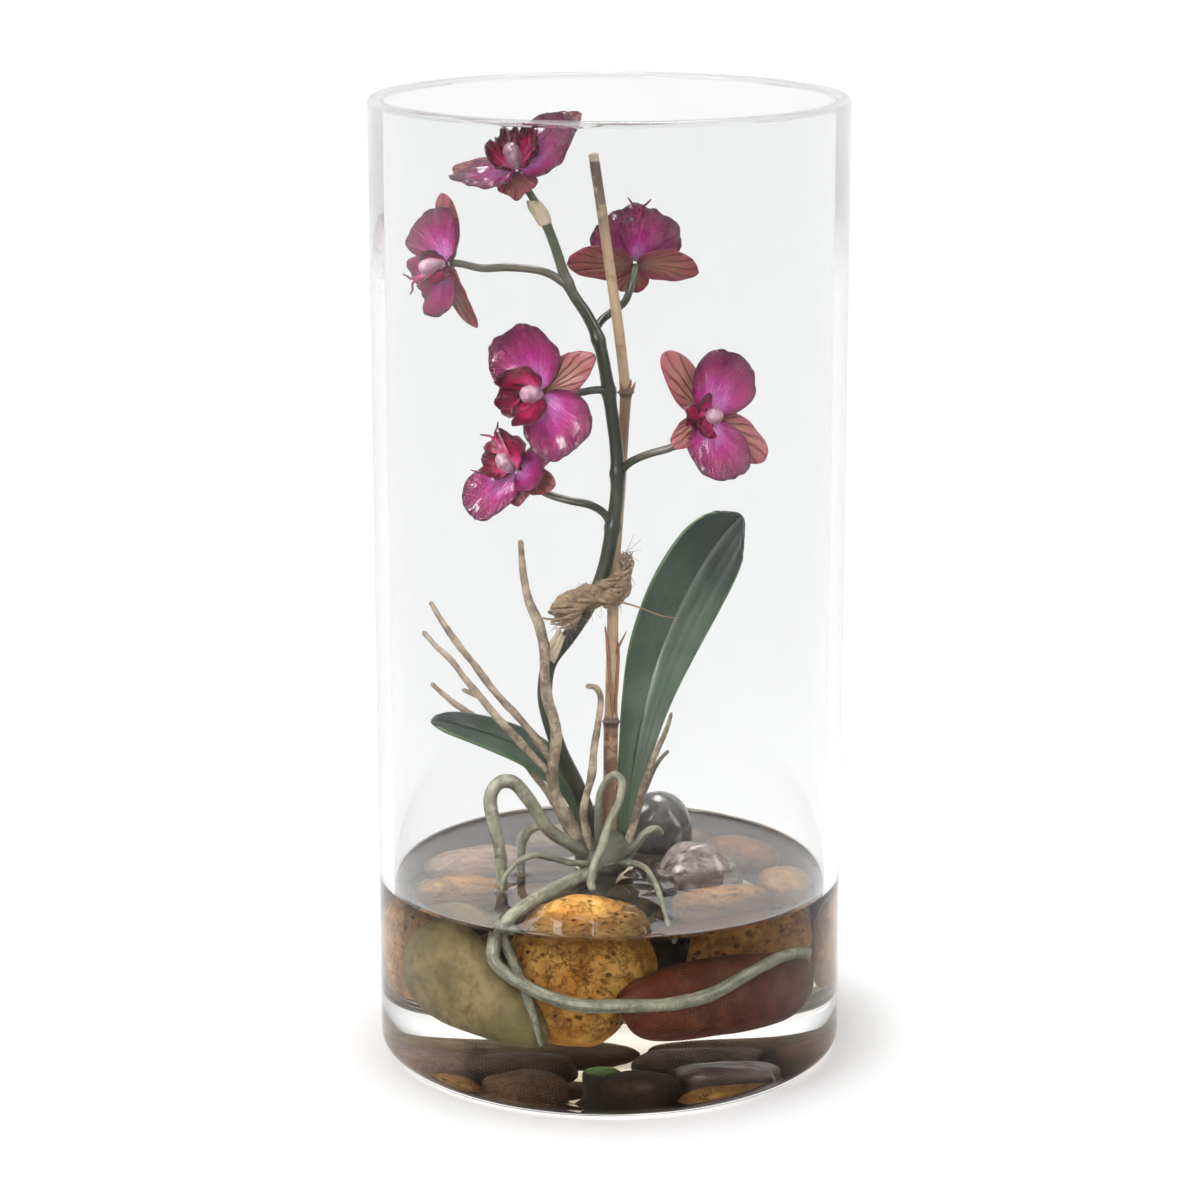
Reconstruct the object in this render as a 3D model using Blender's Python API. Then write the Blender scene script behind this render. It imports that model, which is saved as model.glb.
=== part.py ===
"""Orchid in a clear glass cylinder: a small phalaenopsis plant in clear resin water over river stones.

Metres, +Z up. The origin is the centre of the vase's underside. The front of the arrangement faces -Y.
Traced places are written in millimetres and scaled by MM where they are used.
"""
import math

import bmesh
import bpy
from mathutils import Euler, Matrix, Vector, noise

MM = 0.001
GAP = 0.3 * MM
STONE_GAP = 0.45 * MM
MERGE_DISTANCE = 0.002 * MM

# The vase, a thick-bottomed cylinder of clear glass.
VASE_RADIUS = 63.5 * MM
VASE_HEIGHT = 262 * MM
GLASS_WALL = 4 * MM
GLASS_FLOOR = 16 * MM
FOOT_ROUND = 4.5 * MM
RIM_ROUND = 1.2 * MM
FLOOR_ROUND = 2.5 * MM
FOOT_RING = 51 * MM
HOLLOW_DEPTH = 6.5 * MM
HOLLOW_ROUND = (FOOT_RING ** 2 + HOLLOW_DEPTH ** 2) / (2 * HOLLOW_DEPTH)
HOLLOW_EDGE = math.degrees(math.acos(FOOT_RING / HOLLOW_ROUND))
VASE_SIDES = 40

# The clear resin that looks like water.
WATER_LEVEL = 49 * MM

# Blades such as petals and leaves.
PETAL_THICKNESS = 0.7 * MM
LEAF_THICKNESS = 1.2 * MM

# A bloom's own measures, before its scale.
SEPAL_LENGTH = 17.5
SEPAL_WIDTH = 10.5
PETAL_LENGTH = 17.5
PETAL_WIDTH = 19.5
LIP_LENGTH = 9.5
LIP_WIDTH = 7.5
WING_LENGTH = 6.5
WING_WIDTH = 6.0
WING_ANGLE = 62
HUB_RADIUS = 1.7
HUB_THICKNESS = 0.9
LAYER_STEP = 1.2
WIDEST = 0.55
TIP_ROUND = 0.2
STAGGER = 0.07
STALK_LEAD = 2.2
COLUMN_LEVEL = 3.35

# The bloom's column: how far along it, how far it leans over the lip, and its radius.
COLUMN = ((0, 0, 0.9), (1.8, -0.2, 1.35), (3.6, 0.3, 1.75), (5.2, 1.2, 1.75), (6.3, 2.0, 0.9))


def clear_scene():
    for old in list(bpy.data.objects):
        bpy.data.objects.remove(old)


def make_material(name, colour, roughness, alpha=1.0):
    material = bpy.data.materials.new(name)
    material.use_nodes = True
    shader = material.node_tree.nodes["Principled BSDF"]
    shader.inputs["Base Color"].default_value = (*colour, 1.0)
    shader.inputs["Roughness"].default_value = roughness
    shader.inputs["Metallic"].default_value = 0.0
    shader.inputs["Alpha"].default_value = alpha
    material.diffuse_color = (*colour, alpha)
    return material


def glass_material():
    return make_material("clear_glass", (0.93, 0.95, 0.95), 0.03, 0.25)


def water_material():
    return make_material("clear_resin", (0.80, 0.76, 0.68), 0.05, 0.35)


def stone_material(name, colour):
    return make_material(name, colour, 0.55)


def plant_material(name, colour, roughness=0.45):
    return make_material(name, colour, roughness)


def add_object(name, mesh_source, material):
    """Turn a bmesh into a named, smooth-shaded object."""
    mesh = bpy.data.meshes.new(name)
    mesh_source.to_mesh(mesh)
    mesh_source.free()
    piece = bpy.data.objects.new(name, mesh)
    bpy.context.scene.collection.objects.link(piece)
    piece.data.materials.append(material)
    piece.data.shade_smooth()
    piece.data.set_sharp_from_angle(angle=math.radians(50))
    return piece


def smooth_path(points, per_span):
    """Points on a Catmull-Rom curve through the given ones, their radii blended along with their places."""
    path = []
    last = len(points) - 1
    for index in range(last):
        before = points[max(index - 1, 0)]
        here = points[index]
        there = points[index + 1]
        after = points[min(index + 2, last)]
        for step in range(per_span):
            t = step / per_span
            blended = []
            for a, b, c, d in zip(before, here, there, after):
                blended.append(0.5 * (2 * b + (c - a) * t + (2 * a - 5 * b + 4 * c - d) * t * t
                                      + (3 * b - a - 3 * c + d) * t ** 3))
            path.append(tuple(blended))
    path.append(tuple(points[last]))
    return path


def tube(name, points, material, per_span=2, resolution=1, cyclic=False, grow=0.0):
    """A round stem through points (x, y, z, radius) in millimetres, with capped ends, made fatter by grow."""
    path = points if cyclic else smooth_path(points, per_span)
    if grow:
        first = Vector(path[0][:3]) + (Vector(path[0][:3]) - Vector(path[1][:3])).normalized() * grow
        last = Vector(path[-1][:3]) + (Vector(path[-1][:3]) - Vector(path[-2][:3])).normalized() * grow
        path = [(*first, path[0][3])] + path[1:-1] + [(*last, path[-1][3])]
    curve = bpy.data.curves.new(name, "CURVE")
    curve.dimensions = "3D"
    curve.bevel_depth = 1.0
    curve.bevel_resolution = resolution
    curve.use_fill_caps = not cyclic
    spline = curve.splines.new("POLY")
    spline.points.add(len(path) - 1)
    spline.use_cyclic_u = cyclic
    for knot, (x, y, z, radius) in zip(spline.points, path):
        knot.co = (x * MM, y * MM, z * MM, 1.0)
        knot.radius = (radius + grow) * MM
    holder = bpy.data.objects.new(name + "_curve", curve)
    bpy.context.scene.collection.objects.link(holder)
    mesh = bpy.data.meshes.new_from_object(holder.evaluated_get(bpy.context.evaluated_depsgraph_get()))
    bpy.data.objects.remove(holder)
    mesh_source = bmesh.new()
    mesh_source.from_mesh(mesh)
    bmesh.ops.remove_doubles(mesh_source, verts=mesh_source.verts, dist=0.01 * MM)
    bmesh.ops.recalc_face_normals(mesh_source, faces=mesh_source.faces)
    return add_object(name, mesh_source, material)


def apply_modifiers(piece):
    """Bake the piece's modifiers into its mesh."""
    depsgraph = bpy.context.evaluated_depsgraph_get()
    mesh = bpy.data.meshes.new_from_object(piece.evaluated_get(depsgraph))
    piece.modifiers.clear()
    piece.data = mesh


def cut_or_join(piece, others, operation, solver="EXACT"):
    """Boolean the piece with all the others at once, then remove the others."""
    group = bpy.data.collections.new(piece.name + "_operands")
    bpy.context.scene.collection.children.link(group)
    for other in others:
        for parent in list(other.users_collection):
            parent.objects.unlink(other)
        group.objects.link(other)
    boolean = piece.modifiers.new("boolean", "BOOLEAN")
    boolean.operation = operation
    boolean.solver = solver
    boolean.operand_type = "COLLECTION"
    boolean.collection = group
    apply_modifiers(piece)
    for other in list(group.objects):
        bpy.data.objects.remove(other)
    bpy.data.collections.remove(group)
    keep_main_body(piece)


def keep_main_body(piece):
    """Merge doubled points, drop folded flaps and loose scraps, so that one closed body is left."""
    mesh_source = bmesh.new()
    mesh_source.from_mesh(piece.data)
    bmesh.ops.remove_doubles(mesh_source, verts=mesh_source.verts, dist=MERGE_DISTANCE)
    bmesh.ops.dissolve_degenerate(mesh_source, edges=mesh_source.edges, dist=MERGE_DISTANCE)
    bmesh.ops.triangulate(mesh_source, faces=mesh_source.faces)
    corners = {}
    for face in mesh_source.faces:
        corners.setdefault(frozenset(face.verts), []).append(face)
    flaps = [face for faces in corners.values() if len(faces) > 1 for face in faces]
    bmesh.ops.delete(mesh_source, geom=flaps, context="FACES")
    unseen = set(mesh_source.verts)
    bodies = []
    while unseen:
        start = unseen.pop()
        body = [start]
        queue = [start]
        while queue:
            vert = queue.pop()
            for edge in vert.link_edges:
                other = edge.other_vert(vert)
                if other in unseen:
                    unseen.discard(other)
                    body.append(other)
                    queue.append(other)
        bodies.append(body)
    bodies.sort(key=len)
    for body in bodies[:-1]:
        bmesh.ops.delete(mesh_source, geom=body, context="VERTS")
    mesh_source.to_mesh(piece.data)
    mesh_source.free()
    piece.data.shade_smooth()
    piece.data.set_sharp_from_angle(angle=math.radians(50))


def fuse(name, pieces, solver="EXACT"):
    """Join pieces that grow out of each other into one body."""
    main = pieces[0]
    if len(pieces) > 1:
        cut_or_join(main, pieces[1:], "UNION", solver)
    main.name = name
    main.data.name = name
    return main


def swollen_copy(piece, margin):
    """A cutter a little larger than the piece all round."""
    mesh_source = bmesh.new()
    mesh_source.from_mesh(piece.data)
    mesh_source.normal_update()
    moves = [(vert, vert.normal * margin * min(vert.calc_shell_factor(), 1.6)) for vert in mesh_source.verts]
    for vert, move in moves:
        vert.co += move
    return add_object(piece.name + "_cutter", mesh_source, piece.data.materials[0])


def clear_for(piece, neighbours, margin=GAP):
    """Cut room in the piece for its neighbours, a fine gap wider than they are."""
    cut_or_join(piece, [swollen_copy(neighbour, margin) for neighbour in neighbours], "DIFFERENCE")


def arc(centre, radius, start, end, steps):
    """Profile points (radius, height) on an arc, in degrees."""
    points = []
    for step in range(steps + 1):
        angle = math.radians(start + (end - start) * step / steps)
        points.append((centre[0] + radius * math.cos(angle), centre[1] + radius * math.sin(angle)))
    return points


def turned(name, profile, material, sides):
    """A solid of revolution from a profile that starts and ends on the axis."""
    mesh_source = bmesh.new()
    verts = [mesh_source.verts.new((radius, 0, height)) for radius, height in profile]
    edges = [mesh_source.edges.new(pair) for pair in zip(verts, verts[1:])]
    bmesh.ops.spin(mesh_source, geom=verts + edges, cent=(0, 0, 0), axis=(0, 0, 1), dvec=(0, 0, 0),
                   angle=math.tau, steps=sides, use_merge=True, use_normal_flip=False)
    bmesh.ops.remove_doubles(mesh_source, verts=mesh_source.verts, dist=0.01 * MM)
    bmesh.ops.dissolve_degenerate(mesh_source, edges=mesh_source.edges, dist=0.01 * MM)
    bmesh.ops.recalc_face_normals(mesh_source, faces=mesh_source.faces)
    return add_object(name, mesh_source, material)


def make_vase():
    inner = VASE_RADIUS - GLASS_WALL
    foot = arc((VASE_RADIUS - FOOT_ROUND, FOOT_ROUND), FOOT_ROUND, -90, 0, 2)
    lip_outside = arc((VASE_RADIUS - RIM_ROUND, VASE_HEIGHT - RIM_ROUND), RIM_ROUND, 0, 90, 2)
    lip_inside = arc((inner + RIM_ROUND, VASE_HEIGHT - RIM_ROUND), RIM_ROUND, 90, 180, 2)
    floor = arc((inner - FLOOR_ROUND, GLASS_FLOOR + FLOOR_ROUND), FLOOR_ROUND, 0, -90, 2)
    hollow = arc((0, HOLLOW_DEPTH - HOLLOW_ROUND), HOLLOW_ROUND, 90, HOLLOW_EDGE, 3)
    profile = hollow + foot + lip_outside + lip_inside + floor + [(0, GLASS_FLOOR)]
    return turned("vase", profile, glass_material(), VASE_SIDES)


def make_water():
    outer = VASE_RADIUS - GLASS_WALL - GAP
    bottom = GLASS_FLOOR + GAP
    foot = arc((outer - FLOOR_ROUND, bottom + FLOOR_ROUND), FLOOR_ROUND, -90, 0, 2)
    profile = [(0, bottom)] + foot + [(outer, WATER_LEVEL), (0, WATER_LEVEL)]
    return turned("water", profile, water_material(), VASE_SIDES)


# Each stone: place of its centre (a height of None stands it on the vase's floor), radii, turn about X, Y
# and Z in degrees, how far its lower end narrows, the cuts across each of its six patches, and its colour.
STONES = [
    ("stone_olive", (-36.5, -33.0, None), (23.5, 8.9, 15), (-6, 4, -46), 0.0, 3, (0.30, 0.25, 0.13)),
    ("stone_ochre", (-5.5, -36, None), (15, 11, 19.5), (-24, 8, 0), 0.36, 3, (0.42, 0.24, 0.07)),
    ("stone_red_brown", (28.3, -35, None), (26.5, 8, 12), (-28, 0, 34), 0.0, 3, (0.24, 0.09, 0.05)),
    ("stone_amber", (30, -14.6, None), (14, 6.5, 14.5), (0, 0, 22), 0.0, 3, (0.36, 0.19, 0.06)),
    ("stone_porous", (-41, -5.2, None), (13.5, 8, 14.5), (0, 0, 5), 0.0, 3, (0.33, 0.21, 0.10)),
    ("stone_tawny", (49, 1.5, None), (8, 12, 13), (0, 0, 0), 0.0, 2, (0.34, 0.23, 0.12)),
    ("stone_rust", (37.5, 30.5, None), (13, 10.5, 13), (0, 0, -52), 0.0, 2, (0.40, 0.20, 0.07)),
    ("stone_pink_tan", (-36.5, 19, None), (17, 12.5, 13.5), (0, 0, 30), 0.0, 3, (0.42, 0.29, 0.22)),
    ("stone_tan", (-11.5, 43.5, None), (16, 10.5, 12.5), (0, 0, 8), 0.0, 2, (0.36, 0.28, 0.20)),
    ("stone_back", (17.5, 46, None), (11.5, 8.5, 11.5), (0, 0, -18), 0.0, 2, (0.32, 0.22, 0.14)),
    ("stone_purple", (23.5, 3, None), (13.5, 9.5, 19.8), (0, 0, 8), 0.0, 3, (0.24, 0.17, 0.16)),
    ("stone_base", (15, 24.8, None), (11, 10.5, 11), (0, 0, 0), 0.0, 2, (0.30, 0.24, 0.20)),
    ("stone_grey", (15, 23.8, 51.4), (9.6, 8.6, 11.5), (0, 0, 0), 0.0, 3, (0.13, 0.12, 0.115)),
    ("stone_brown", (-15.5, -9.5, None), (8.5, 7.5, 11), (0, 0, 30), 0.0, 2, (0.30, 0.20, 0.12)),
    ("stone_dark", (4.5, -10.5, None), (7.5, 6, 11), (0, 0, -20), 0.0, 2, (0.12, 0.09, 0.07)),
    ("stone_umber", (-12, 21, None), (8, 9, 11), (0, 0, 0), 0.0, 2, (0.20, 0.13, 0.08)),
]


def make_stone(name, centre, radii, turn, narrowing, cuts, colour):
    """A water-worn stone: a cube subdivided into a ball, stretched, roughened and set down."""
    mesh_source = bmesh.new()
    bmesh.ops.create_cube(mesh_source, size=2.0)
    bmesh.ops.subdivide_edges(mesh_source, edges=mesh_source.edges, cuts=cuts, use_grid_fill=True)
    spin = Euler([math.radians(angle) for angle in turn]).to_matrix()
    seed = Vector((centre[0], centre[1], 7.0)) * 0.37
    for vert in mesh_source.verts:
        direction = vert.co.normalized()
        lump = 1.0 + 0.07 * noise.noise(direction * 1.3 + seed)
        point = Vector([direction[axis] * radii[axis] * lump for axis in range(3)])
        taper = 1.0 - narrowing * max(0.0, -direction.z)
        point.x *= taper
        point.y *= taper
        vert.co = spin @ point * MM
    lowest = min(vert.co.z for vert in mesh_source.verts)
    if centre[2] is None:
        height = GLASS_FLOOR + GAP - lowest
    else:
        height = centre[2] * MM
    bmesh.ops.translate(mesh_source, verts=mesh_source.verts, vec=(centre[0] * MM, centre[1] * MM, height))
    return add_object(name, mesh_source, stone_material(name, colour))


def blade_grid(rows, cols, place):
    """A grid of rows along a blade and cols across, each point put by place(u, v), split into triangles."""
    mesh_source = bmesh.new()
    bmesh.ops.create_grid(mesh_source, x_segments=rows, y_segments=cols, size=0.5)
    for vert in mesh_source.verts:
        vert.co = Vector(place(vert.co.x + 0.5, vert.co.y * 2)) * MM
    bmesh.ops.triangulate(mesh_source, faces=mesh_source.faces, quad_method="FIXED")
    return mesh_source


def thicken(piece, thickness):
    solidify = piece.modifiers.new("thickness", "SOLIDIFY")
    solidify.thickness = thickness
    solidify.offset = 0.0
    apply_modifiers(piece)
    mesh_source = bmesh.new()
    mesh_source.from_mesh(piece.data)
    bmesh.ops.triangulate(mesh_source, faces=mesh_source.faces, quad_method="SHORT_EDGE")
    mesh_source.to_mesh(piece.data)
    mesh_source.free()
    return piece


def petal_place(length, width, lift, cup, wave, claw, base):
    """The shape of a sepal or petal, along +X and facing +Z: lift bends it forward, cup rolls its edges."""
    def place(u, v):
        swell = math.sin(math.pi * 0.5 * min(u / WIDEST, 1.0)) ** 1.3
        taper = math.cos(math.pi * 0.5 * max(u - WIDEST, 0.0) / (1.0 - WIDEST) * 0.72)
        half = 0.5 * width * (claw + (1.0 - claw) * swell) * taper
        along = u * (1.0 - TIP_ROUND * u * u * v * v)
        ripple = wave * math.sin(4.2 * v + 3.0 * u) * u * abs(v)
        rise = lift * length * u ** 1.7 + cup * half * v * v * u + ripple
        shorten = 1.0 - 0.35 * lift * lift * u
        return (base + length * along * shorten, half * v, rise)
    return place


def make_blade(name, material, rows, cols, place, spin, raise_by=0.0):
    """One petal turned by spin degrees about the bloom's own axis."""
    mesh_source = blade_grid(rows, cols, place)
    turn = Matrix.Rotation(math.radians(spin), 4, "Z")
    bmesh.ops.transform(mesh_source, verts=mesh_source.verts,
                        matrix=Matrix.Translation((0, 0, raise_by * MM)) @ turn)
    return thicken(add_object(name, mesh_source, material), PETAL_THICKNESS)


def make_hub(name, material, raise_by, radius=HUB_RADIUS):
    mesh_source = bmesh.new()
    bmesh.ops.create_cone(mesh_source, cap_ends=True, segments=8, radius1=radius * MM, radius2=radius * MM,
                          depth=HUB_THICKNESS * MM, matrix=Matrix.Translation((0, 0, raise_by * MM)))
    return add_object(name, mesh_source, material)


def bloom_frame(centre, facing, scale):
    """Matrix of a bloom: local Z is the way it faces, local X is level and local Y is upward in its plane."""
    normal = Vector(facing).normalized()
    level = Vector((0, 0, 1)).cross(normal).normalized()
    upward = normal.cross(level)
    turn = Matrix((level, upward, normal)).transposed().to_4x4()
    return Matrix.Translation(Vector(centre) * MM) @ turn @ Matrix.Scale(scale, 4)


def make_bloom(name, centre, facing, scale, sepals, petals, lip, recurve, cup, materials):
    """One bloom in four layers on its pin: sepals behind, then petals, then the lip, then the column."""
    frame = bloom_frame(centre, facing, scale)
    coral, magenta, crimson, pale = materials
    layers = []

    back = [make_hub(name + "_hub", coral, 0.0)]
    for index, (angle, bend) in enumerate(zip(sepals, recurve)):
        place = petal_place(SEPAL_LENGTH, SEPAL_WIDTH, bend, 0.06, 0.25, 0.26, 0.5)
        back.append(make_blade(f"{name}_sepal_{index}", coral, 5, 2, place, angle, (index - 1) * STAGGER))
    layers.append(fuse(name + "_sepals", back, "MANIFOLD"))

    middle = [make_hub(name + "_hub", magenta, LAYER_STEP)]
    for index, (angle, bend) in enumerate(zip(petals, cup)):
        place = petal_place(PETAL_LENGTH, PETAL_WIDTH, bend, 0.16, 0.7, 0.2, 0.5)
        middle.append(make_blade(f"{name}_petal_{index}", magenta, 5, 4, place, angle,
                                 LAYER_STEP + (index - 0.5) * STAGGER))
    layers.append(fuse(name + "_petals", middle, "MANIFOLD"))

    lip_level = 2 * LAYER_STEP
    front = [make_hub(name + "_hub", crimson, lip_level)]
    apron = petal_place(LIP_LENGTH, LIP_WIDTH, 0.55, 0.35, 0.5, 0.3, 0.4)
    front.append(make_blade(name + "_apron", crimson, 4, 3, apron, lip, lip_level))
    for side in (-1, 1):
        wing = petal_place(WING_LENGTH, WING_WIDTH, 0.85, 0.2, 0.3, 0.35, 0.4)
        front.append(make_blade(f"{name}_wing_{side}", crimson, 3, 2, wing, lip + side * WING_ANGLE,
                                lip_level + side * STAGGER))
    layers.append(fuse(name + "_lip", front, "MANIFOLD"))

    toward = math.radians(lip)
    leaning = Vector((math.cos(toward), math.sin(toward), 0))
    column = []
    for along, across, radius in COLUMN:
        spot = leaning * across + Vector((0, 0, COLUMN_LEVEL + along))
        column.append((*spot, radius))
    layers.append(tube(name + "_column", column, pale, per_span=1, resolution=1))

    for layer in layers:
        layer.data.transform(frame)
        layer.data.update()
    return layers


# Each bloom: centre, the way it faces, scale, the angles of its sepals, petals and lip in its own plane,
# how far each sepal curls back and how far each petal cups forward.
BLOOMS = [
    ("bloom_top", (-24, -8, 242.5), (-0.14, -0.66, 0.74), 0.98, (288, 48, 184), (26, 207), 105,
     (-0.12, -0.10, -0.1), (0.36, 0.24)),
    ("bloom_left", (-41.5, -7.5, 217), (-0.80, -0.60, 0.02), 0.93, (58, 182, -76), (114, -66), 205,
     (-0.22, -0.1, -0.5), (0.20, 0.22)),
    ("bloom_back", (7, 15.5, 214.8), (0.05, 0.6, 0.8), 0.95, (-92, 14, 168), (40, 146), 95,
     (-0.1, -0.14, -0.14), (0.62, 0.56)),
    ("bloom_large", (-17, -15, 184.2), (-0.33, -0.93, 0.16), 1.04, (34, 152, -88), (116, -52), 208,
     (-0.12, -0.25, -0.2), (0.20, 0.22)),
    ("bloom_low", (-24.5, -3.5, 161.6), (-0.52, -0.66, 0.54), 0.92, (306, 70, 186), (222, 26), 122,
     (-0.15, -0.3, -0.12), (0.24, 0.20)),
    ("bloom_right", (27.1, -12, 176.6), (0.32, -0.92, 0.22), 1.0, (-28, 128, 222), (62, -68), 160,
     (-0.1, -0.12, -0.45), (0.20, 0.24)),
]


def make_blooms():
    materials = (plant_material("sepal_coral", (0.46, 0.12, 0.12)),
                 plant_material("petal_magenta", (0.36, 0.03, 0.18)),
                 plant_material("lip_crimson", (0.22, 0.01, 0.05)),
                 plant_material("column_pale", (0.62, 0.34, 0.44)))
    return [make_bloom(*bloom, materials) for bloom in BLOOMS]


# The flower spike, from the crown up to the top bloom: x, y, z and radius.
SPIKE = [(-4.6, 2.4, 57.0, 2.2), (-5.4, 2.0, 62.4, 2.2), (-8.7, 1, 72.4, 2.15), (-13.7, -1, 84.1, 2.1),
         (-17.0, -3, 95.8, 2.1), (-17.5, -3, 102.7, 2.05), (-15.9, -3, 109.6, 2.0),
         (-10.9, -3, 116.5, 2.0), (-5.9, -3, 124.3, 2.0), (-1.7, -2.5, 133.7, 2.0),
         (0.7, -2, 145.4, 1.95), (2.1, -2, 156.4, 1.9), (1.9, -2, 167.5, 1.8), (0.5, -2, 178.6, 1.75),
         (-1.2, -2, 189.7, 1.7), (-3.1, -2, 198.0, 1.65), (-5.9, -2, 204.1, 1.55),
         (-9.5, -2, 209.6, 1.45), (-12.0, -3, 215.3, 1.4), (-14.5, -4, 223.2, 1.3),
         (-17.2, -5, 230.3, 1.25), (-19.6, -5.5, 235.0, 1.15)]

PEDICELS = {
    "bloom_top": [(-17.2, -5, 230.3, 1.0), (-19.6, -5.5, 235.0, 1.0), (-22.0, -5.0, 238.6, 0.95)],
    "bloom_left": [(-11.6, -3, 212.4, 1.1), (-15.6, -4, 215.4, 1.1), (-20.5, -4.5, 216.8, 1.05),
                   (-27.3, -4.5, 217.3, 1.05), (-33.5, -4.5, 217.1, 1.05)],
    "bloom_back": [(-3.4, -1.6, 197.5, 1.1), (-3.6, 2.6, 199.4, 1.1), (-1.8, 6.6, 201.6, 1.1),
                   (1.6, 9.4, 203.8, 1.05), (4.6, 10.8, 206.4, 1.05)],
    "bloom_large": [(-0.3, -2.2, 183.6, 1.1), (-3.4, -4, 184.4, 1.05), (-7.8, -6.2, 184.1, 1.05),
                    (-12.4, -8.6, 183.7, 1.05)],
    "bloom_low": [(0.7, -2, 146.5, 1.15), (-1.4, -2.6, 150.4, 1.1), (-5.3, -3, 152.9, 1.1),
                  (-10.8, -2.4, 153.9, 1.05), (-16.4, -0.6, 155.3, 1.05), (-20.0, 0.8, 157.3, 1.05)],
    "bloom_right": [(2.3, -2.2, 161.2, 1.15), (5.7, -4, 164.8, 1.1), (10.7, -5.6, 167.4, 1.05),
                    (16.2, -6.6, 169.2, 1.05), (22.4, -7.0, 172.2, 1.05)],
}


def make_flower_stem():
    """The spike with a stalk to each bloom, each stalk ending square on the back of its bloom."""
    green = plant_material("stem_green", (0.075, 0.085, 0.045), 0.4)
    pieces = [tube("flower_stem", SPIKE, green, per_span=1, resolution=2)]
    for name, centre, facing, *rest in BLOOMS:
        normal = Vector(facing).normalized()
        behind = 0.5 * HUB_THICKNESS + GAP / MM
        end = Vector(centre) - normal * behind
        lead = Vector(centre) - normal * (behind + STALK_LEAD)
        stalk = PEDICELS[name] + [(*lead, 1.0), (*end, 0.95)]
        pieces.append(tube(name + "_stalk", stalk, green, per_span=1, resolution=1))
    return fuse("flower_stem", pieces)


# The bamboo stake, with a swelling at each node.
STAKE = [(-0.2, 6, 52.5, 2.0), (0.2, 6, 68.1, 2.0), (0.4, 6, 87.4, 2.0), (0.5, 6, 89.9, 2.35),
         (0.5, 6, 92.6, 1.8), (0.8, 5, 110.2, 1.65), (1.3, 4.4, 132.8, 1.55), (3.0, 4, 157.9, 1.5),
         (4.3, 4, 179.0, 1.5), (4.4, 4, 182.4, 1.95), (4.2, 4, 185.2, 1.45), (2.4, 4, 199.7, 1.4),
         (-0.9, 4, 223.4, 1.4), (-4.3, 4, 246.6, 1.35)]


def make_stake():
    return tube("bamboo_stake", STAKE, plant_material("bamboo", (0.35, 0.22, 0.12)), per_span=1, resolution=2)


def strap_leaf(name, spine, widths, facing, fold, material, rows, cols):
    """A strap leaf along a spine of points, folded along its midrib and thickened."""
    path = [Vector(point) for point in smooth_path(spine, 4)]
    breadths = [pair[0] for pair in smooth_path([(width,) for width in widths], 4)]
    front = Vector(facing).normalized()

    def at(u):
        spot = u * (len(path) - 1)
        index = min(int(spot), len(path) - 2)
        share = spot - index
        point = path[index].lerp(path[index + 1], share)
        tangent = (path[index + 1] - path[index]).normalized()
        width = breadths[index] * (1 - share) + breadths[index + 1] * share
        return point, tangent, width

    def place(u, v):
        point, tangent, width = at(u)
        side = tangent.cross(front).normalized()
        normal = side.cross(tangent).normalized()
        round_tip = 1.2 * v * v * u ** 8 * width * 0.4
        bow = fold * width * abs(v) ** 1.5
        return point + side * (0.5 * width * v) + normal * bow - tangent * round_tip

    return thicken(add_object(name, blade_grid(rows, cols, place), material), LEAF_THICKNESS)


def make_leaves():
    green = plant_material("leaf_green", (0.06, 0.09, 0.06), 0.35)
    large = strap_leaf("leaf_large",
                       [(4.2, 9.5, 55.5), (5.4, 10.6, 66.8), (7.4, 12, 80.3), (10.2, 14, 93.8),
                        (14.2, 17, 107.0), (20.2, 20, 120.4), (28.0, 23, 132.5), (35.9, 26, 140.8),
                        (41.6, 28, 142.8)],
                       [5.0, 7.5, 10.0, 14.0, 18.5, 21.0, 20.5, 17.0, 9.0],
                       (0.15, -1.0, 0.25), 0.10, green, 14, 4)
    small = strap_leaf("leaf_small",
                       [(-5.6, 8.0, 58.0), (-9.4, 7.0, 68.6), (-15.4, 4.6, 76.6), (-22.0, 2.0, 82.4),
                        (-30.2, -1, 87.0), (-38.4, -4, 90.7), (-44.8, -6, 92.9), (-48.4, -7, 93.6)],
                       [5.0, 6.5, 9.0, 10.5, 10.5, 9.0, 6.5, 2.6],
                       (-0.25, -0.75, 0.75), 0.12, green, 12, 4)
    return large, small


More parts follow.
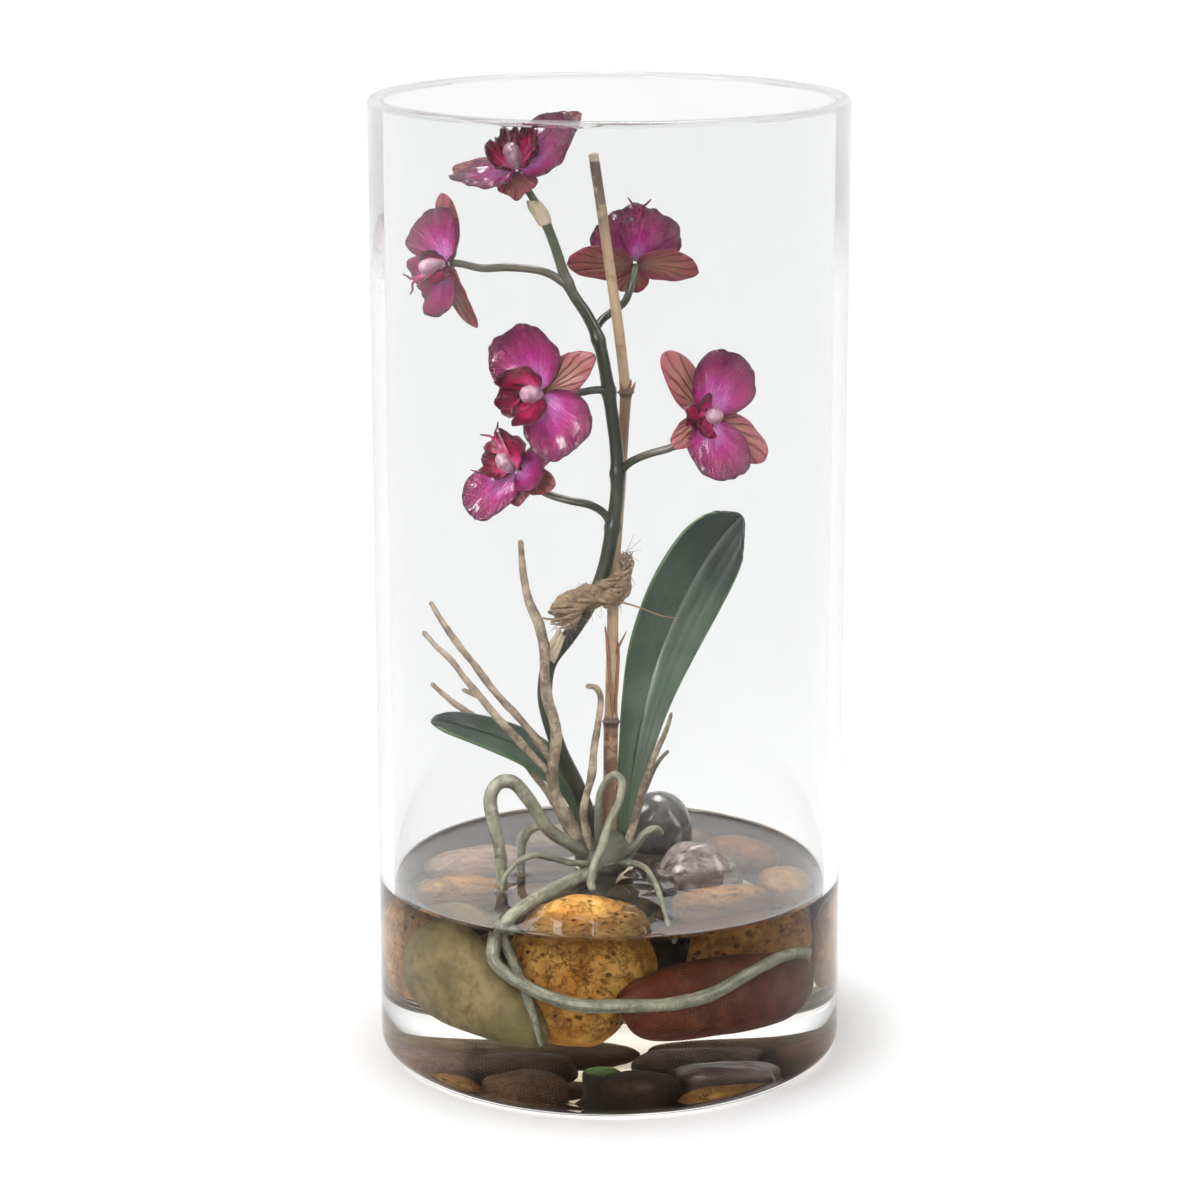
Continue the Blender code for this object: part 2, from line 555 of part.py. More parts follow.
# Roots, each a list of x, y, z and radius from its tip to where it grows from.
TAN_ROOTS_LEFT = [
    [(-23.8, -6, 144.1, 0.7), (-23.2, -7, 135.5, 1.0), (-21.6, -8, 127.5, 1.2),
     (-18.8, -8, 120.6, 1.35), (-17.4, -8.4, 113.7, 1.4), (-17.4, -8.8, 106.8, 1.45),
     (-16.6, -9, 100.0, 1.5), (-14.7, -9, 93.9, 1.55), (-14.4, -8.6, 87.6, 1.6),
     (-15.5, -7.8, 80.4, 1.6), (-15.3, -6.6, 74.0, 1.65), (-13.1, -5.4, 68.7, 1.7),
     (-10.4, -3.6, 63.1, 1.7), (-8.4, -1.0, 56.1, 1.6)],
    [(-48.6, -2, 126.0, 0.6), (-45.5, -3, 120.7, 0.8), (-40.7, -4, 114.0, 0.9),
     (-36.3, -5, 108.8, 0.95), (-31.5, -6, 102.2, 1.0), (-25.4, -7, 95.6, 1.05),
     (-20.5, -8, 90.1, 1.1), (-15.6, -8, 83.0, 1.1)],
    [(-50.2, -8, 119.2, 0.6), (-46.6, -9, 115.4, 0.75), (-42.4, -10, 111.5, 0.85),
     (-38.3, -10.4, 106.0, 0.9), (-32.8, -10.6, 99.0, 0.95), (-28.1, -10.6, 93.4, 1.0),
     (-23.6, -10, 88.0, 1.0), (-15.9, -8, 79.0, 1.0)],
    [(-49.5, 6, 101.0, 0.6), (-44.0, 5.6, 96.0, 0.7), (-38.6, 5.4, 92.4, 0.8),
     (-32.0, 6.6, 86.8, 0.85), (-24.6, 8.4, 78.4, 0.9), (-17.6, 8.0, 69.4, 0.95),
     (-12.6, 3.6, 61.4, 1.0), (-8.8, -0.8, 56.4, 1.0)],
    [(-39.8, -10.4, 103.6, 0.55), (-37.4, -10.4, 102.6, 0.7), (-35.0, -10.6, 101.6, 0.85)],
]
TAN_ROOT_MIDDLE = [
    [(-6.6, 0.0, 101.6, 0.6), (-3.6, -0.4, 101.2, 0.8), (-2.4, -0.6, 97.7, 0.9),
     (-3.0, -1.0, 91.6, 1.0), (-4.2, -2.2, 84.1, 1.1), (-4.8, -3.6, 77.5, 1.15),
     (-6.4, -4.6, 71.4, 1.15), (-7.0, -4.4, 66.4, 1.15), (-6.0, -3.2, 60.0, 1.15),
     (-4.8, -2.2, 55.5, 1.1)],
]
TAN_ROOT_RIGHT = [
    [(17.2, 2, 93.8, 0.45), (15.5, 3, 87.9, 0.7), (12.7, 4, 81.2, 0.85), (10.4, 4.6, 74.5, 0.95),
     (8.6, 4.6, 68.1, 1.05), (6.8, 4.2, 61.1, 1.1), (4.8, 3.6, 54.5, 1.1)],
]
GREEN_ROOTS = [
    [(-3.8, 1, 51.5, 1.9), (-10.9, -3.4, 57.8, 1.85), (-16.9, -6, 62.9, 1.85), (-21.6, -8, 71.4, 1.85),
     (-25.9, -9.4, 76.9, 1.85), (-30.0, -10.6, 77.2, 1.8), (-32.2, -11.6, 73.2, 1.8),
     (-31.2, -12.4, 66.0, 1.75), (-29.6, -12.6, 58.0, 1.7), (-29.0, -12.6, 47.0, 1.5)],
    [(-17.7, -6, 64.0, 1.2), (-21.9, -5, 62.0, 1.2), (-24.0, -4, 56.8, 1.2), (-24.2, -3.6, 46.6, 1.0)],
    [(-3.4, -1.0, 51.6, 0.9), (-10.0, -8.0, 53.6, 0.9), (-16.0, -13, 56.8, 0.85),
     (-20.4, -16.4, 58.6, 0.8), (-25.2, -18.6, 57.0, 0.75), (-28.4, -19.6, 52.4, 0.7),
     (-29.4, -20.2, 46.2, 0.6)],
    [(-3.6, 0.6, 48.6, 2.2), (-8.6, -9, 49.4, 2.1), (-14.6, -20, 49.8, 2.0), (-21.4, -32.6, 50.0, 2.0),
     (-26.2, -41.6, 48.6, 1.95), (-29.0, -48.0, 44.2, 1.95), (-28.6, -49.8, 39.6, 1.9),
     (-20.6, -53.0, 34.6, 1.9), (-8.8, -56.0, 30.8, 1.9), (5.0, -56.4, 30.6, 1.9),
     (15.6, -54.4, 30.4, 1.9), (25.4, -50.8, 31.6, 1.85), (35.4, -44.4, 35.2, 1.8),
     (44.8, -34.8, 37.0, 1.7), (50.8, -25.4, 34.0, 1.3)],
    [(-26.6, -43.0, 47.6, 1.5), (-24.2, -47.6, 41.2, 1.4), (-21.4, -51.2, 33.6, 1.2),
     (-18.6, -54.4, 24.0, 0.9), (-17.4, -55.6, 18.6, 0.5)],
    [(-2.0, 0, 52.4, 1.25), (-2.8, -4.6, 60.4, 1.2), (-2.8, -6.6, 70.4, 1.15), (-1.5, -8, 76.0, 1.1),
     (1.3, -9, 79.1, 1.1), (3.4, -10, 77.0, 1.1), (2.4, -12, 72.0, 1.1), (-0.2, -14.4, 66.6, 1.15),
     (-2.0, -17.4, 61.6, 1.2), (-4.1, -20.4, 57.0, 1.2), (-5.0, -24.0, 53.4, 1.15),
     (-4.4, -28.0, 52.6, 1.0)],
    [(2.4, 0, 51.4, 1.1), (6.6, -3.4, 56.4, 1.05), (9.6, -5.4, 61.2, 1.0), (12.6, -5.0, 62.4, 0.95),
     (14.6, -3.0, 60.2, 0.8)],
    [(2.0, 0, 50.6, 1.0), (6.2, -8.0, 53.6, 0.9), (9.8, -14.4, 54.2, 0.8), (12.2, -22.0, 53.0, 0.7),
     (13.4, -30.0, 51.4, 0.65), (14.6, -38.0, 49.6, 0.6), (15.4, -44.0, 44.6, 0.5)],
    [(2.0, 8, 50.6, 1.0), (5.4, 12.6, 57.6, 0.85), (9.4, 13.6, 66.4, 0.75), (13.2, 12.4, 75.6, 0.65),
     (16.6, 11.0, 80.2, 0.5)],
]
CROWN = [(-1.5, 4.5, 19.4, 3.9), (-1.5, 4.5, 30.0, 4.0), (-1.5, 4.5, 40.0, 4.4),
         (-1.5, 4.4, 47.0, 6.6), (-1.5, 4.2, 52.0, 8.2), (-1.4, 4.2, 57.0, 7.8),
         (-1.2, 4.4, 60.0, 5.6)]


def make_tan_roots():
    bark = plant_material("root_tan", (0.30, 0.21, 0.13), 0.7)
    nodes = []
    for name, roots in (("roots_left", TAN_ROOTS_LEFT), ("root_middle", TAN_ROOT_MIDDLE),
                        ("root_right", TAN_ROOT_RIGHT)):
        nodes.append(fuse(name, [tube(f"{name}_{index}", root, bark, per_span=1, resolution=1)
                                 for index, root in enumerate(roots)]))
    return nodes


def crown_tubes(material, grow=0.0):
    """The short stem that stands on the glass floor, and the green roots that grow out of it."""
    pieces = [tube("root_crown", CROWN, material, per_span=1, resolution=3, grow=grow)]
    for index, root in enumerate(GREEN_ROOTS):
        pieces.append(tube(f"root_green_{index}", root, material, per_span=1, resolution=1, grow=grow))
    return pieces


def make_crown():
    return fuse("root_crown", crown_tubes(plant_material("root_green", (0.24, 0.24, 0.15), 0.6)))


def path_point(path, height):
    """The centre and direction of an upright path at a height, in millimetres."""
    for lower, upper in zip(path, path[1:]):
        if lower[2] <= height <= upper[2]:
            start = Vector(lower[:3])
            end = Vector(upper[:3])
            share = (height - lower[2]) / (upper[2] - lower[2])
            return start.lerp(end, share), (end - start).normalized()
    return Vector(path[-1][:3]), Vector((0, 0, 1))


def make_sheath(name, height, length, radius, material):
    """A papery scale that wraps the front half of the spike at one of its joints."""
    def place(u, v):
        centre, tangent = path_point(SPIKE, height + length * u)
        side = tangent.cross(Vector((0, -1, 0))).normalized()
        front = side.cross(tangent).normalized()
        turn = math.radians(100) * v * (1 - 0.55 * u)
        return centre + (side * math.sin(turn) + front * math.cos(turn)) * (radius + 0.5 * u)
    return thicken(add_object(name, blade_grid(3, 5, place), material), PETAL_THICKNESS)


def make_sheaths():
    husk = plant_material("husk_beige", (0.45, 0.34, 0.22), 0.7)
    make_sheath("sheath_low", 110.0, 6.5, 2.95, husk)
    make_sheath("sheath_top", 226.0, 6.5, 2.3, husk)


# The twine tie: turns round the spike and the stake, with frayed ends.
TIE_HEIGHT = 127.0
TIE_PITCH = 1.8
TIE_RADIUS = 1.1
STAKE_REACH = 2.2
STEM_REACH = 3.6
TIE_ENDS = [
    [(-3.8, -8.1, 129.2, 1.6), (-6.6, -8.4, 129.4, 1.9), (-9.6, -8.8, 128.2, 2.0),
     (-12.4, -8.8, 125.4, 2.0), (-13.6, -8.6, 122.4, 1.6)],
    [(-7.4, -8.3, 127.6, 1.6), (-9.2, -8.6, 125.0, 1.5), (-10.6, -8.6, 121.4, 1.0)],
    [(-4.4, -8.1, 128.8, 1.6), (0.4, -7.8, 130.2, 1.7), (3.2, -7.0, 133.6, 1.4), (4.0, -6.0, 137.6, 0.9)],
]


def make_twine():
    string = plant_material("twine", (0.30, 0.20, 0.12), 0.85)
    pieces = []
    for turn in range(2):
        height = TIE_HEIGHT + TIE_PITCH * turn
        stem = path_point(SPIKE, height)[0]
        stake = path_point(STAKE, height)[0]
        along = Vector((stake.x - stem.x, stake.y - stem.y, 0)).normalized()
        across = Vector((-along.y, along.x, 0))
        ring = []
        for centre, sign, reach in ((stake, 1, STAKE_REACH), (stem, -1, STEM_REACH)):
            for step in range(5):
                angle = math.radians(-80 + 40 * step)
                offset = along * (sign * math.cos(angle)) + across * (sign * math.sin(angle))
                spot = centre + offset * (reach + TIE_RADIUS)
                ring.append((spot.x, spot.y, height + 0.3 * (spot.x + 2), TIE_RADIUS))
        pieces.append(tube(f"twine_turn_{turn}", ring, string, resolution=1, cyclic=True))
    for index, end in enumerate(TIE_ENDS):
        pieces.append(tube(f"twine_end_{index}", end, string, per_span=1, resolution=1))
    return fuse("twine_tie", pieces, "MANIFOLD")


def build():
    clear_scene()
    make_vase()
    water = make_water()
    stones = [make_stone(*stone) for stone in STONES]
    blooms = make_blooms()
    flower_stem = make_flower_stem()
    stake = make_stake()
    leaves = make_leaves()
    tan_roots = make_tan_roots()
    crown = make_crown()
    make_sheaths()
    make_twine()
    clear_for(crown, [flower_stem, stake, *leaves, *tan_roots])
    room = crown_tubes(crown.data.materials[0], grow=GAP / MM)
    cutters = [swollen_copy(stone, STONE_GAP) for stone in stones] + room
    cut_or_join(water, cutters, "DIFFERENCE", "MANIFOLD")


build()
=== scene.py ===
# %% [markdown]
# # An orchid in a glass vase
# A miniature orchid stands over river stones in a tall glass cylinder. Clear resin fills the bottom of
# the glass and looks like still water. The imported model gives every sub-part its place, and this script
# dresses each one: fine meshes for petals, roots and stones, and materials made only from shader nodes.

import math
import random

import bmesh
import bpy
from mathutils import Euler, Matrix, Vector, noise
from mathutils.bvhtree import BVHTree


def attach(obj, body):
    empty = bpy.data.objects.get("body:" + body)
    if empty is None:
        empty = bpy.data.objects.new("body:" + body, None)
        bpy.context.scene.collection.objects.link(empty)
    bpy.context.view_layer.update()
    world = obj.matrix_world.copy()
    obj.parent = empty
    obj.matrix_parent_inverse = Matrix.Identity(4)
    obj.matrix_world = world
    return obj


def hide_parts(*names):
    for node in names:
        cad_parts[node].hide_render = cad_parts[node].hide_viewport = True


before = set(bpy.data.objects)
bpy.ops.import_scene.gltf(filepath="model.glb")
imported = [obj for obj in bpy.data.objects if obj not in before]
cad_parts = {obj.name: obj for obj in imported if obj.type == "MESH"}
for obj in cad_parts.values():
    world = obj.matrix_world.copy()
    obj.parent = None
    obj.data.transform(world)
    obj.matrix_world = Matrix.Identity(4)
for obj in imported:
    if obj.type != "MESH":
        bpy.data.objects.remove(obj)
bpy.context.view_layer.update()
MM = 0.001
print("nodes in the frame:", len(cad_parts))

# %% [markdown]
# ## Measures
# These are the real sizes that the solids were made with, in metres unless a line says otherwise. Places
# that were traced are kept in millimetres and scaled by MM where they are used.

# %% Measures of the vase
VASE_RADIUS = 63.5 * MM
VASE_HEIGHT = 262 * MM
GLASS_WALL = 4 * MM
GLASS_FLOOR = 16 * MM
INNER_RADIUS = VASE_RADIUS - GLASS_WALL
FOOT_ROUND = 4.5 * MM
RIM_ROUND = 1.6 * MM
OPEN_HEIGHT = 208 * MM
FLOOR_ROUND = 2.5 * MM
FOOT_RING = 51 * MM
HOLLOW_DEPTH = 6.5 * MM
WATER_LEVEL = 49 * MM
ROUND_SIDES = 256
print("vase", VASE_RADIUS * 2, "across and", VASE_HEIGHT, "tall")

# %% [markdown]
# ## Shader maths as plain Python
# A material's patterns are sums, and every sum could be a row of Math nodes that are linked by hand. Long
# rows hide what they work out. This small class wraps an output socket instead, so that `1 - mask * 0.5`
# adds the nodes for that sum.


# %% A socket with operators
def operator(operation, swapped=False):
    """An operator that adds one Math node."""

    def apply(self, other):
        inputs = {0: other, 1: self} if swapped else {0: self, 1: other}
        return self.paint.node("ShaderNodeMath", {"operation": operation}, inputs)
    return apply


class Value:
    """An output socket. Python's operators on it add Math nodes."""

    def __init__(self, paint, socket):
        self.paint = paint
        self.socket = socket

    __add__ = operator("ADD")
    __radd__ = operator("ADD", swapped=True)
    __sub__ = operator("SUBTRACT")
    __rsub__ = operator("SUBTRACT", swapped=True)
    __mul__ = operator("MULTIPLY")
    __rmul__ = operator("MULTIPLY", swapped=True)


# %% [markdown]
# ## One class for a tree of nodes
# The glass, the petals and the room around the vase are all trees of nodes. Every node comes from one
# method: its type, its settings, then what goes into its sockets. Colours are mixed by a Mix node and
# never by a Math node, which would turn them grey.


# %% A tree of nodes
class NodeTree:
    """Adds nodes to a tree. A child class says which tree, and which of its nodes is the skin."""

    def node(self, kind, settings=None, sockets=None, output=0):
        made = self.tree.nodes.new(kind)
        for setting, value in (settings or {}).items():
            if setting == "stops":
                self.set_stops(made.color_ramp, value)
            else:
                setattr(made, setting, value)
        for key, value in (sockets or {}).items():
            self.join(value, made.inputs[key])
        return Value(self, made.outputs[output])

    def set_stops(self, ramp, stops):
        while len(ramp.elements) < len(stops):
            ramp.elements.new(1.0)
        for element, (place, colour) in zip(ramp.elements, stops):
            element.position = place
            element.color = (*colour, 1.0)

    def join(self, value, socket):
        if isinstance(value, Value):
            self.tree.links.new(value.socket, socket)
        elif socket.type == "RGBA" and len(value) == 3:
            socket.default_value = (*value, 1.0)
        else:
            socket.default_value = value

    def feed(self, socket, value):
        """Send a value or a colour into the skin."""
        self.join(value, self.skin.inputs[socket])

    def along(self, vector, axis):
        """One part of a vector: 0, 1 or 2 for X, Y or Z."""
        return self.node("ShaderNodeSeparateXYZ", sockets={0: vector}, output=axis)

    def vector(self, x, y, z=0.0):
        return self.node("ShaderNodeCombineXYZ", sockets={0: x, 1: y, 2: z})

    def step(self, value, low, high):
        """0 below low, 1 above high and a soft rise between them."""
        return self.node("ShaderNodeMapRange", {"interpolation_type": "SMOOTHSTEP"},
                         {0: value, 1: low, 2: high})

    def fade(self, value, low, high):
        """1 below low and 0 above high."""
        return 1 - self.step(value, low, high)

    def sine(self, value):
        return self.node("ShaderNodeMath", {"operation": "SINE"}, {0: value})

    def size(self, value):
        return self.node("ShaderNodeMath", {"operation": "ABSOLUTE"}, {0: value})

    def mix(self, factor, first, second, blend="MIX"):
        return self.node("ShaderNodeMix", {"data_type": "RGBA", "blend_type": blend},
                         {0: factor, 6: first, 7: second}, output=2)

    def ramp(self, value, stops):
        return self.node("ShaderNodeValToRGB", {"stops": stops}, {0: value})


# %% [markdown]
# ## Patterns for a material
# A petal has veins, a stone has specks and a cane has grain. Painted pictures could give them that, but
# patterns made of nodes stay sharp from close by and need no files. The short methods below name the
# patterns that this object needs: cloudy patches, specks, cells, and streaks that follow a root or a
# petal.


# %% A material being painted
class Paint(NodeTree):
    """A material with a Principled surface, and the patterns that vary it."""

    def __init__(self, name, **uniform):
        self.material = bpy.data.materials.new(name)
        self.material.use_nodes = True
        self.tree = self.material.node_tree
        self.skin = self.tree.nodes["Principled BSDF"]
        for socket, value in uniform.items():
            self.join(value, self.skin.inputs[socket.replace("_", " ")])

    def output(self, socket, value):
        """Replace what reaches the material's output."""
        self.join(value, self.tree.nodes["Material Output"].inputs[socket])

    def here(self):
        """The point's place on the object."""
        return self.node("ShaderNodeTexCoord", output=3)

    def height(self):
        return self.along(self.here(), 2)

    def uv(self, axis):
        """How far along (0) or across (1) its own grid a point lies, from 0 to 1."""
        return self.along(self.node("ShaderNodeTexCoord", output=2), axis)

    def noise(self, scale, detail=3.0, rough=0.55, vector=None, distortion=0.0):
        return self.node("ShaderNodeTexNoise", sockets={
            "Vector": vector or self.here(), "Scale": scale, "Detail": detail,
            "Roughness": rough, "Distortion": distortion})

    def patches(self, scale, low, high, detail=3.0, rough=0.6, distortion=0.0):
        """Cloudy patches: 0 where the noise is below low, 1 where it is above high."""
        return self.step(self.noise(scale, detail, rough, distortion=distortion), low, high)

    def specks(self, scale, low, high, detail=3.0, rough=0.6):
        """The opposite: 1 only where the noise is low."""
        return self.fade(self.noise(scale, detail, rough), low, high)

    def streaks(self, along, across, detail=3.0, rough=0.6):
        """Noise that varies this many times along a piece's own grid and across it."""
        return self.noise(1.0, detail, rough, self.vector(self.uv(0) * along, self.uv(1) * across))

    def cells(self, scale, feature="F1", vector=None):
        return self.node("ShaderNodeTexVoronoi", {"feature": feature},
                         {"Vector": vector or self.here(), "Scale": scale})

    def coats(self, colour, *coats):
        """Lay colours over a first one, each through its own mask."""
        for mask, tone in coats:
            colour = self.mix(mask, colour, tone)
        return colour

    def finished(self, colour, relief, depth, strength=1.0):
        """Give the surface its colour and its fine relief, the depth in millimetres."""
        self.feed("Base Color", colour)
        self.feed("Normal", self.node("ShaderNodeBump", sockets={
            "Height": relief, "Distance": depth * MM, "Strength": strength}))
        return self.material


# %% [markdown]
# ## Profiles
# The glass and the resin are round, so each is drawn as half an outline and turned. A cylinder with
# bevelled edges could do it too, but a profile gives every rounding its own size. Smooth shading bends
# light wrongly where a long flat wall meets a small rounding, so two extra rings sit close beside each
# corner and hold the wall straight.


# %% Draw a profile
def arc(centre, radius, start, end, steps):
    """Profile points (radius, height) on an arc, in degrees."""
    points = []
    for step in range(steps + 1):
        angle = math.radians(start + (end - start) * step / steps)
        points.append((centre[0] + radius * math.cos(angle), centre[1] + radius * math.sin(angle)))
    return points


def supported(profile, close=0.15 * MM, long=4 * MM):
    """Add points close beside both ends of each long stretch."""
    points = [profile[0]]
    for here, there in zip(profile, profile[1:]):
        length = math.dist(here, there)
        if length > long:
            for share in (close / length, 1 - close / length):
                points.append(tuple(a + (b - a) * share for a, b in zip(here, there)))
        points.append(there)
    return points


# %% [markdown]
# ## From a shape to an object
# A bmesh is only a shape. As an object it also has materials, smooth shading and, where it is a piece of
# the plant or the vase, the node of the solids whose place it takes. Each piece could get these one by
# one, but with one function for all of them none is forgotten.


# %% Make an object of a shape
def finish_mesh(name, shape, *materials, sharp=40):
    """Make a closed bmesh into a smooth-shaded object."""
    mesh = bpy.data.meshes.new(name)
    shape.to_mesh(mesh)
    shape.free()
    piece = bpy.data.objects.new(name, mesh)
    bpy.context.scene.collection.objects.link(piece)
    for material in materials:
        mesh.materials.append(material)
    mesh.shade_smooth()
    mesh.set_sharp_from_angle(angle=math.radians(sharp))
    return piece


def dress(name, shape, node, slot, *materials, sharp=180):
    """Make an object that takes the place of a node of the solids."""
    piece = finish_mesh(name, shape, *materials, sharp=sharp)
    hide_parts(node)
    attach(piece, "root")
    return piece


def mark_faces(piece, index, chosen):
    """Give the faces whose centre passes the test another of the piece's materials."""
    for face in piece.data.polygons:
        if chosen(face.center):
            face.material_index = index


# %% [markdown]
# ## Spin a profile
# Turning is one operator, and it needs only the profile and an axis. The two ends of the profile lie on
# the axis, where all the turned points fall together, so doubles are merged before the faces are turned
# outward.


# %% Spin
def turned(profile, sides=ROUND_SIDES):
    """A bmesh of revolution from a profile that starts and ends on the axis."""
    shape = bmesh.new()
    verts = [shape.verts.new((radius, 0, height)) for radius, height in profile]
    edges = [shape.edges.new(pair) for pair in zip(verts, verts[1:])]
    bmesh.ops.spin(shape, geom=verts + edges, cent=(0, 0, 0), axis=(0, 0, 1), dvec=(0, 0, 0),
                   angle=math.tau, steps=sides, use_merge=True, use_normal_flip=False)
    bmesh.ops.remove_doubles(shape, verts=shape.verts, dist=0.005 * MM)
    bmesh.ops.dissolve_degenerate(shape, edges=shape.edges, dist=0.005 * MM)
    bmesh.ops.recalc_face_normals(shape, faces=shape.faces)
    return shape


# %% [markdown]
# ## Glass that meets resin
# The vase is clear glass, and the resin in it bends light almost as glass does. With one glass material
# all over, the hair-thin gap between the two would act as a mirror. So where glass touches resin, both
# faces let light straight through, and everywhere else the glass is a real refracting surface. Lamps
# shine through both, which keeps the stones well lit. Toward the rim, part of the light that the wall
# would trap goes straight out, and that gives the rim and the upper edges the soft grey outline of the
# real vase.

# %% Clear materials
GLASS_BEND, RESIN_BEND = 1.50, 1.49
RESIN_TINT, RESIN_DENSITY = (0.74, 0.60, 0.36), 16.0
TRAPPED_FROM, TRAPPED_FULLY, LET_OUT = 0.90, 0.98, 0.6


def clear_material(name, tint, bend, shine, open_share=0.0, open_above=None, see_through=0.95):
    """Glass-like: refracts what is seen through it, and lets lamps shine straight through."""
    paint = Paint(name, Base_Color=tint, Roughness=0.0, IOR=bend, Transmission_Weight=1.0,
                  Specular_Tint=(shine, shine, shine))
    open_part = paint.node("ShaderNodeLightPath", output=1) + open_share
    if open_above is not None:
        mirror = paint.node("ShaderNodeFresnel", sockets={"IOR": bend})
        high = paint.step(paint.height(), open_above, VASE_HEIGHT)
        open_part = open_part + paint.step(mirror, TRAPPED_FROM, TRAPPED_FULLY) * high * LET_OUT
    air = paint.node("ShaderNodeBsdfTransparent", sockets={0: (see_through, see_through + 0.005,
                                                               see_through + 0.005)})
    glass = Value(paint, paint.skin.outputs[0])
    paint.output("Surface", paint.node("ShaderNodeMixShader", sockets={0: open_part, 1: glass, 2: air}))
    return paint


def seamless_material(name):
    """A contact face between glass and resin, where light goes straight on."""
    paint = Paint(name)
    paint.output("Surface", paint.node("ShaderNodeBsdfTransparent", sockets={0: (1.0, 1.0, 1.0)}))
    return paint


clear_glass = clear_material("clear_glass", (0.905, 0.91, 0.91), GLASS_BEND, 0.12, 0.0, OPEN_HEIGHT)
# painted shade: the rim's darker grey see-through tint stands in for the grey edge of real glass
rim_glass = clear_material("rim_glass", (0.85, 0.855, 0.855), GLASS_BEND, 0.35, 0.6, OPEN_HEIGHT, 0.84)
glass_contact = seamless_material("glass_contact")
clear_resin = clear_material("clear_resin", (0.99, 0.985, 0.975), RESIN_BEND, 1.0)
resin_contact = seamless_material("resin_contact")
for paint in (clear_resin, resin_contact):
    paint.output("Volume", paint.node("ShaderNodeVolumeAbsorption", sockets={
        "Color": RESIN_TINT, "Density": RESIN_DENSITY}))
print("clear materials made")

# %% [markdown]
# ## The vase
# The real vase is a pressed cylinder with a thick bottom. Its underside is hollow, which is why the base
# mirrors the stones above it. An outer and an inner cylinder could be joined, but one closed profile
# makes the outside, the rounded rim and the inside at once, with no seam in the glass.


# %% Make the vase
def vase_profile():
    hollow_round = (FOOT_RING ** 2 + HOLLOW_DEPTH ** 2) / (2 * HOLLOW_DEPTH)
    hollow_edge = math.degrees(math.acos(FOOT_RING / hollow_round))
    profile = arc((0, HOLLOW_DEPTH - hollow_round), hollow_round, 90, hollow_edge, 48)
    profile += arc((VASE_RADIUS - FOOT_ROUND, FOOT_ROUND), FOOT_ROUND, -90, 0, 12)
    profile += arc((VASE_RADIUS - RIM_ROUND, VASE_HEIGHT - RIM_ROUND), RIM_ROUND, 0, 90, 8)
    profile += arc((INNER_RADIUS + RIM_ROUND, VASE_HEIGHT - RIM_ROUND), RIM_ROUND, 90, 180, 8)
    profile += [(INNER_RADIUS, WATER_LEVEL)]
    profile += arc((INNER_RADIUS - FLOOR_ROUND, GLASS_FLOOR + FLOOR_ROUND), FLOOR_ROUND, 0, -90, 6)
    return supported(profile + [(0, GLASS_FLOOR)])


vase = dress("vase_glass", turned(vase_profile()), "vase", "clear_glass", clear_glass.material,
             glass_contact.material, rim_glass.material, sharp=40)
mark_faces(vase, 2, lambda centre: centre.z > VASE_HEIGHT - RIM_ROUND)
mark_faces(vase, 1, lambda centre: GLASS_FLOOR - 0.1 * MM < centre.z < WATER_LEVEL
             and math.hypot(centre.x, centre.y) < INNER_RADIUS + 0.05 * MM)
print("vase faces:", len(vase.data.polygons))

# %% [markdown]
# ## River stones
# Sixteen river pebbles fill the bottom of the vase and hold the plant. They could be sculpted one by one.
# Here each is a row of numbers, the same ones as in the solids: where it lies, how long, deep and high it
# is, how it is turned and how it narrows.

# %% Where each stone lies
# Name, centre (None: it stands on the glass floor), radii, turn and, where it isn't 0, how far the stone
# narrows downward and upward.
STONES = [
    ("stone_olive", (-34.6, -34.6, None), (21.8, 8.4, 14.4), (-6, 4, -46), -0.26, 0.58),
    ("stone_ochre", (-6.8, -37.6, None), (16.8, 11.6, 19.6), (-34, 9, 0), 0.5, 0.0),
    ("stone_red_brown", (26.4, -37.8, None), (28.5, 8.4, 10.8), (-26, 3, 35)),
    ("stone_amber", (30, -14.6, None), (15, 7, 15), (0, 0, 22)),
    ("stone_porous", (-41, -5.2, None), (13.5, 8, 14.5), (0, 0, 5)),
    ("stone_tawny", (49, 1.5, None), (8, 12, 13.5), (0, 0, 0)),
    ("stone_rust", (37.5, 30.5, None), (13, 10.5, 13), (0, 0, -52)),
    ("stone_pink_tan", (-36.5, 19, None), (17, 12.5, 13.5), (0, 0, 30)),
    ("stone_tan", (-11.5, 43.5, None), (16, 10.5, 12.5), (0, 0, 8)),
    ("stone_back", (17.5, 46, None), (11.5, 8.5, 11.5), (0, 0, -18)),
    ("stone_purple", (23.5, 3, None), (13.5, 9.5, 19.8), (0, 0, 8), 0.0, 0.12),
    ("stone_base", (15, 24.8, None), (11, 10.5, 11), (0, 0, 0)),
    ("stone_grey", (14, 26.0, 52.0), (9.6, 8.6, 11.2), (0, 0, 0)),
    ("stone_brown", (-18.5, -6.5, None), (9.5, 8.5, 11), (0, 0, 30)),
    ("stone_dark", (7.0, -8.5, None), (9, 7.5, 11), (0, 0, -20)),
    ("stone_umber", (-17, 14.5, None), (11, 9.5, 11), (0, 0, 0)),
]
BOXINESS = 2.35
LEAN = {"stone_olive": 0.36}
# Lumps on a stone: how high beside its radius, and how many of them.
STONE_LUMPS = ((0.07, 1.3), (0.012, 4.1), (0.006, 9.0))
STONE_LIFT = 0.3 * MM
print("stones listed:", len(STONES))


# %% [markdown]
# ## Shape of a stone
# Water wears a pebble round but leaves it a little boxy. A sphere has two poles where faces crowd, so the
# shape starts as a cube, which is divided finely and blown up into a ball. Slow noise then gives worn
# lumps and, on the sandy ones, small pits.


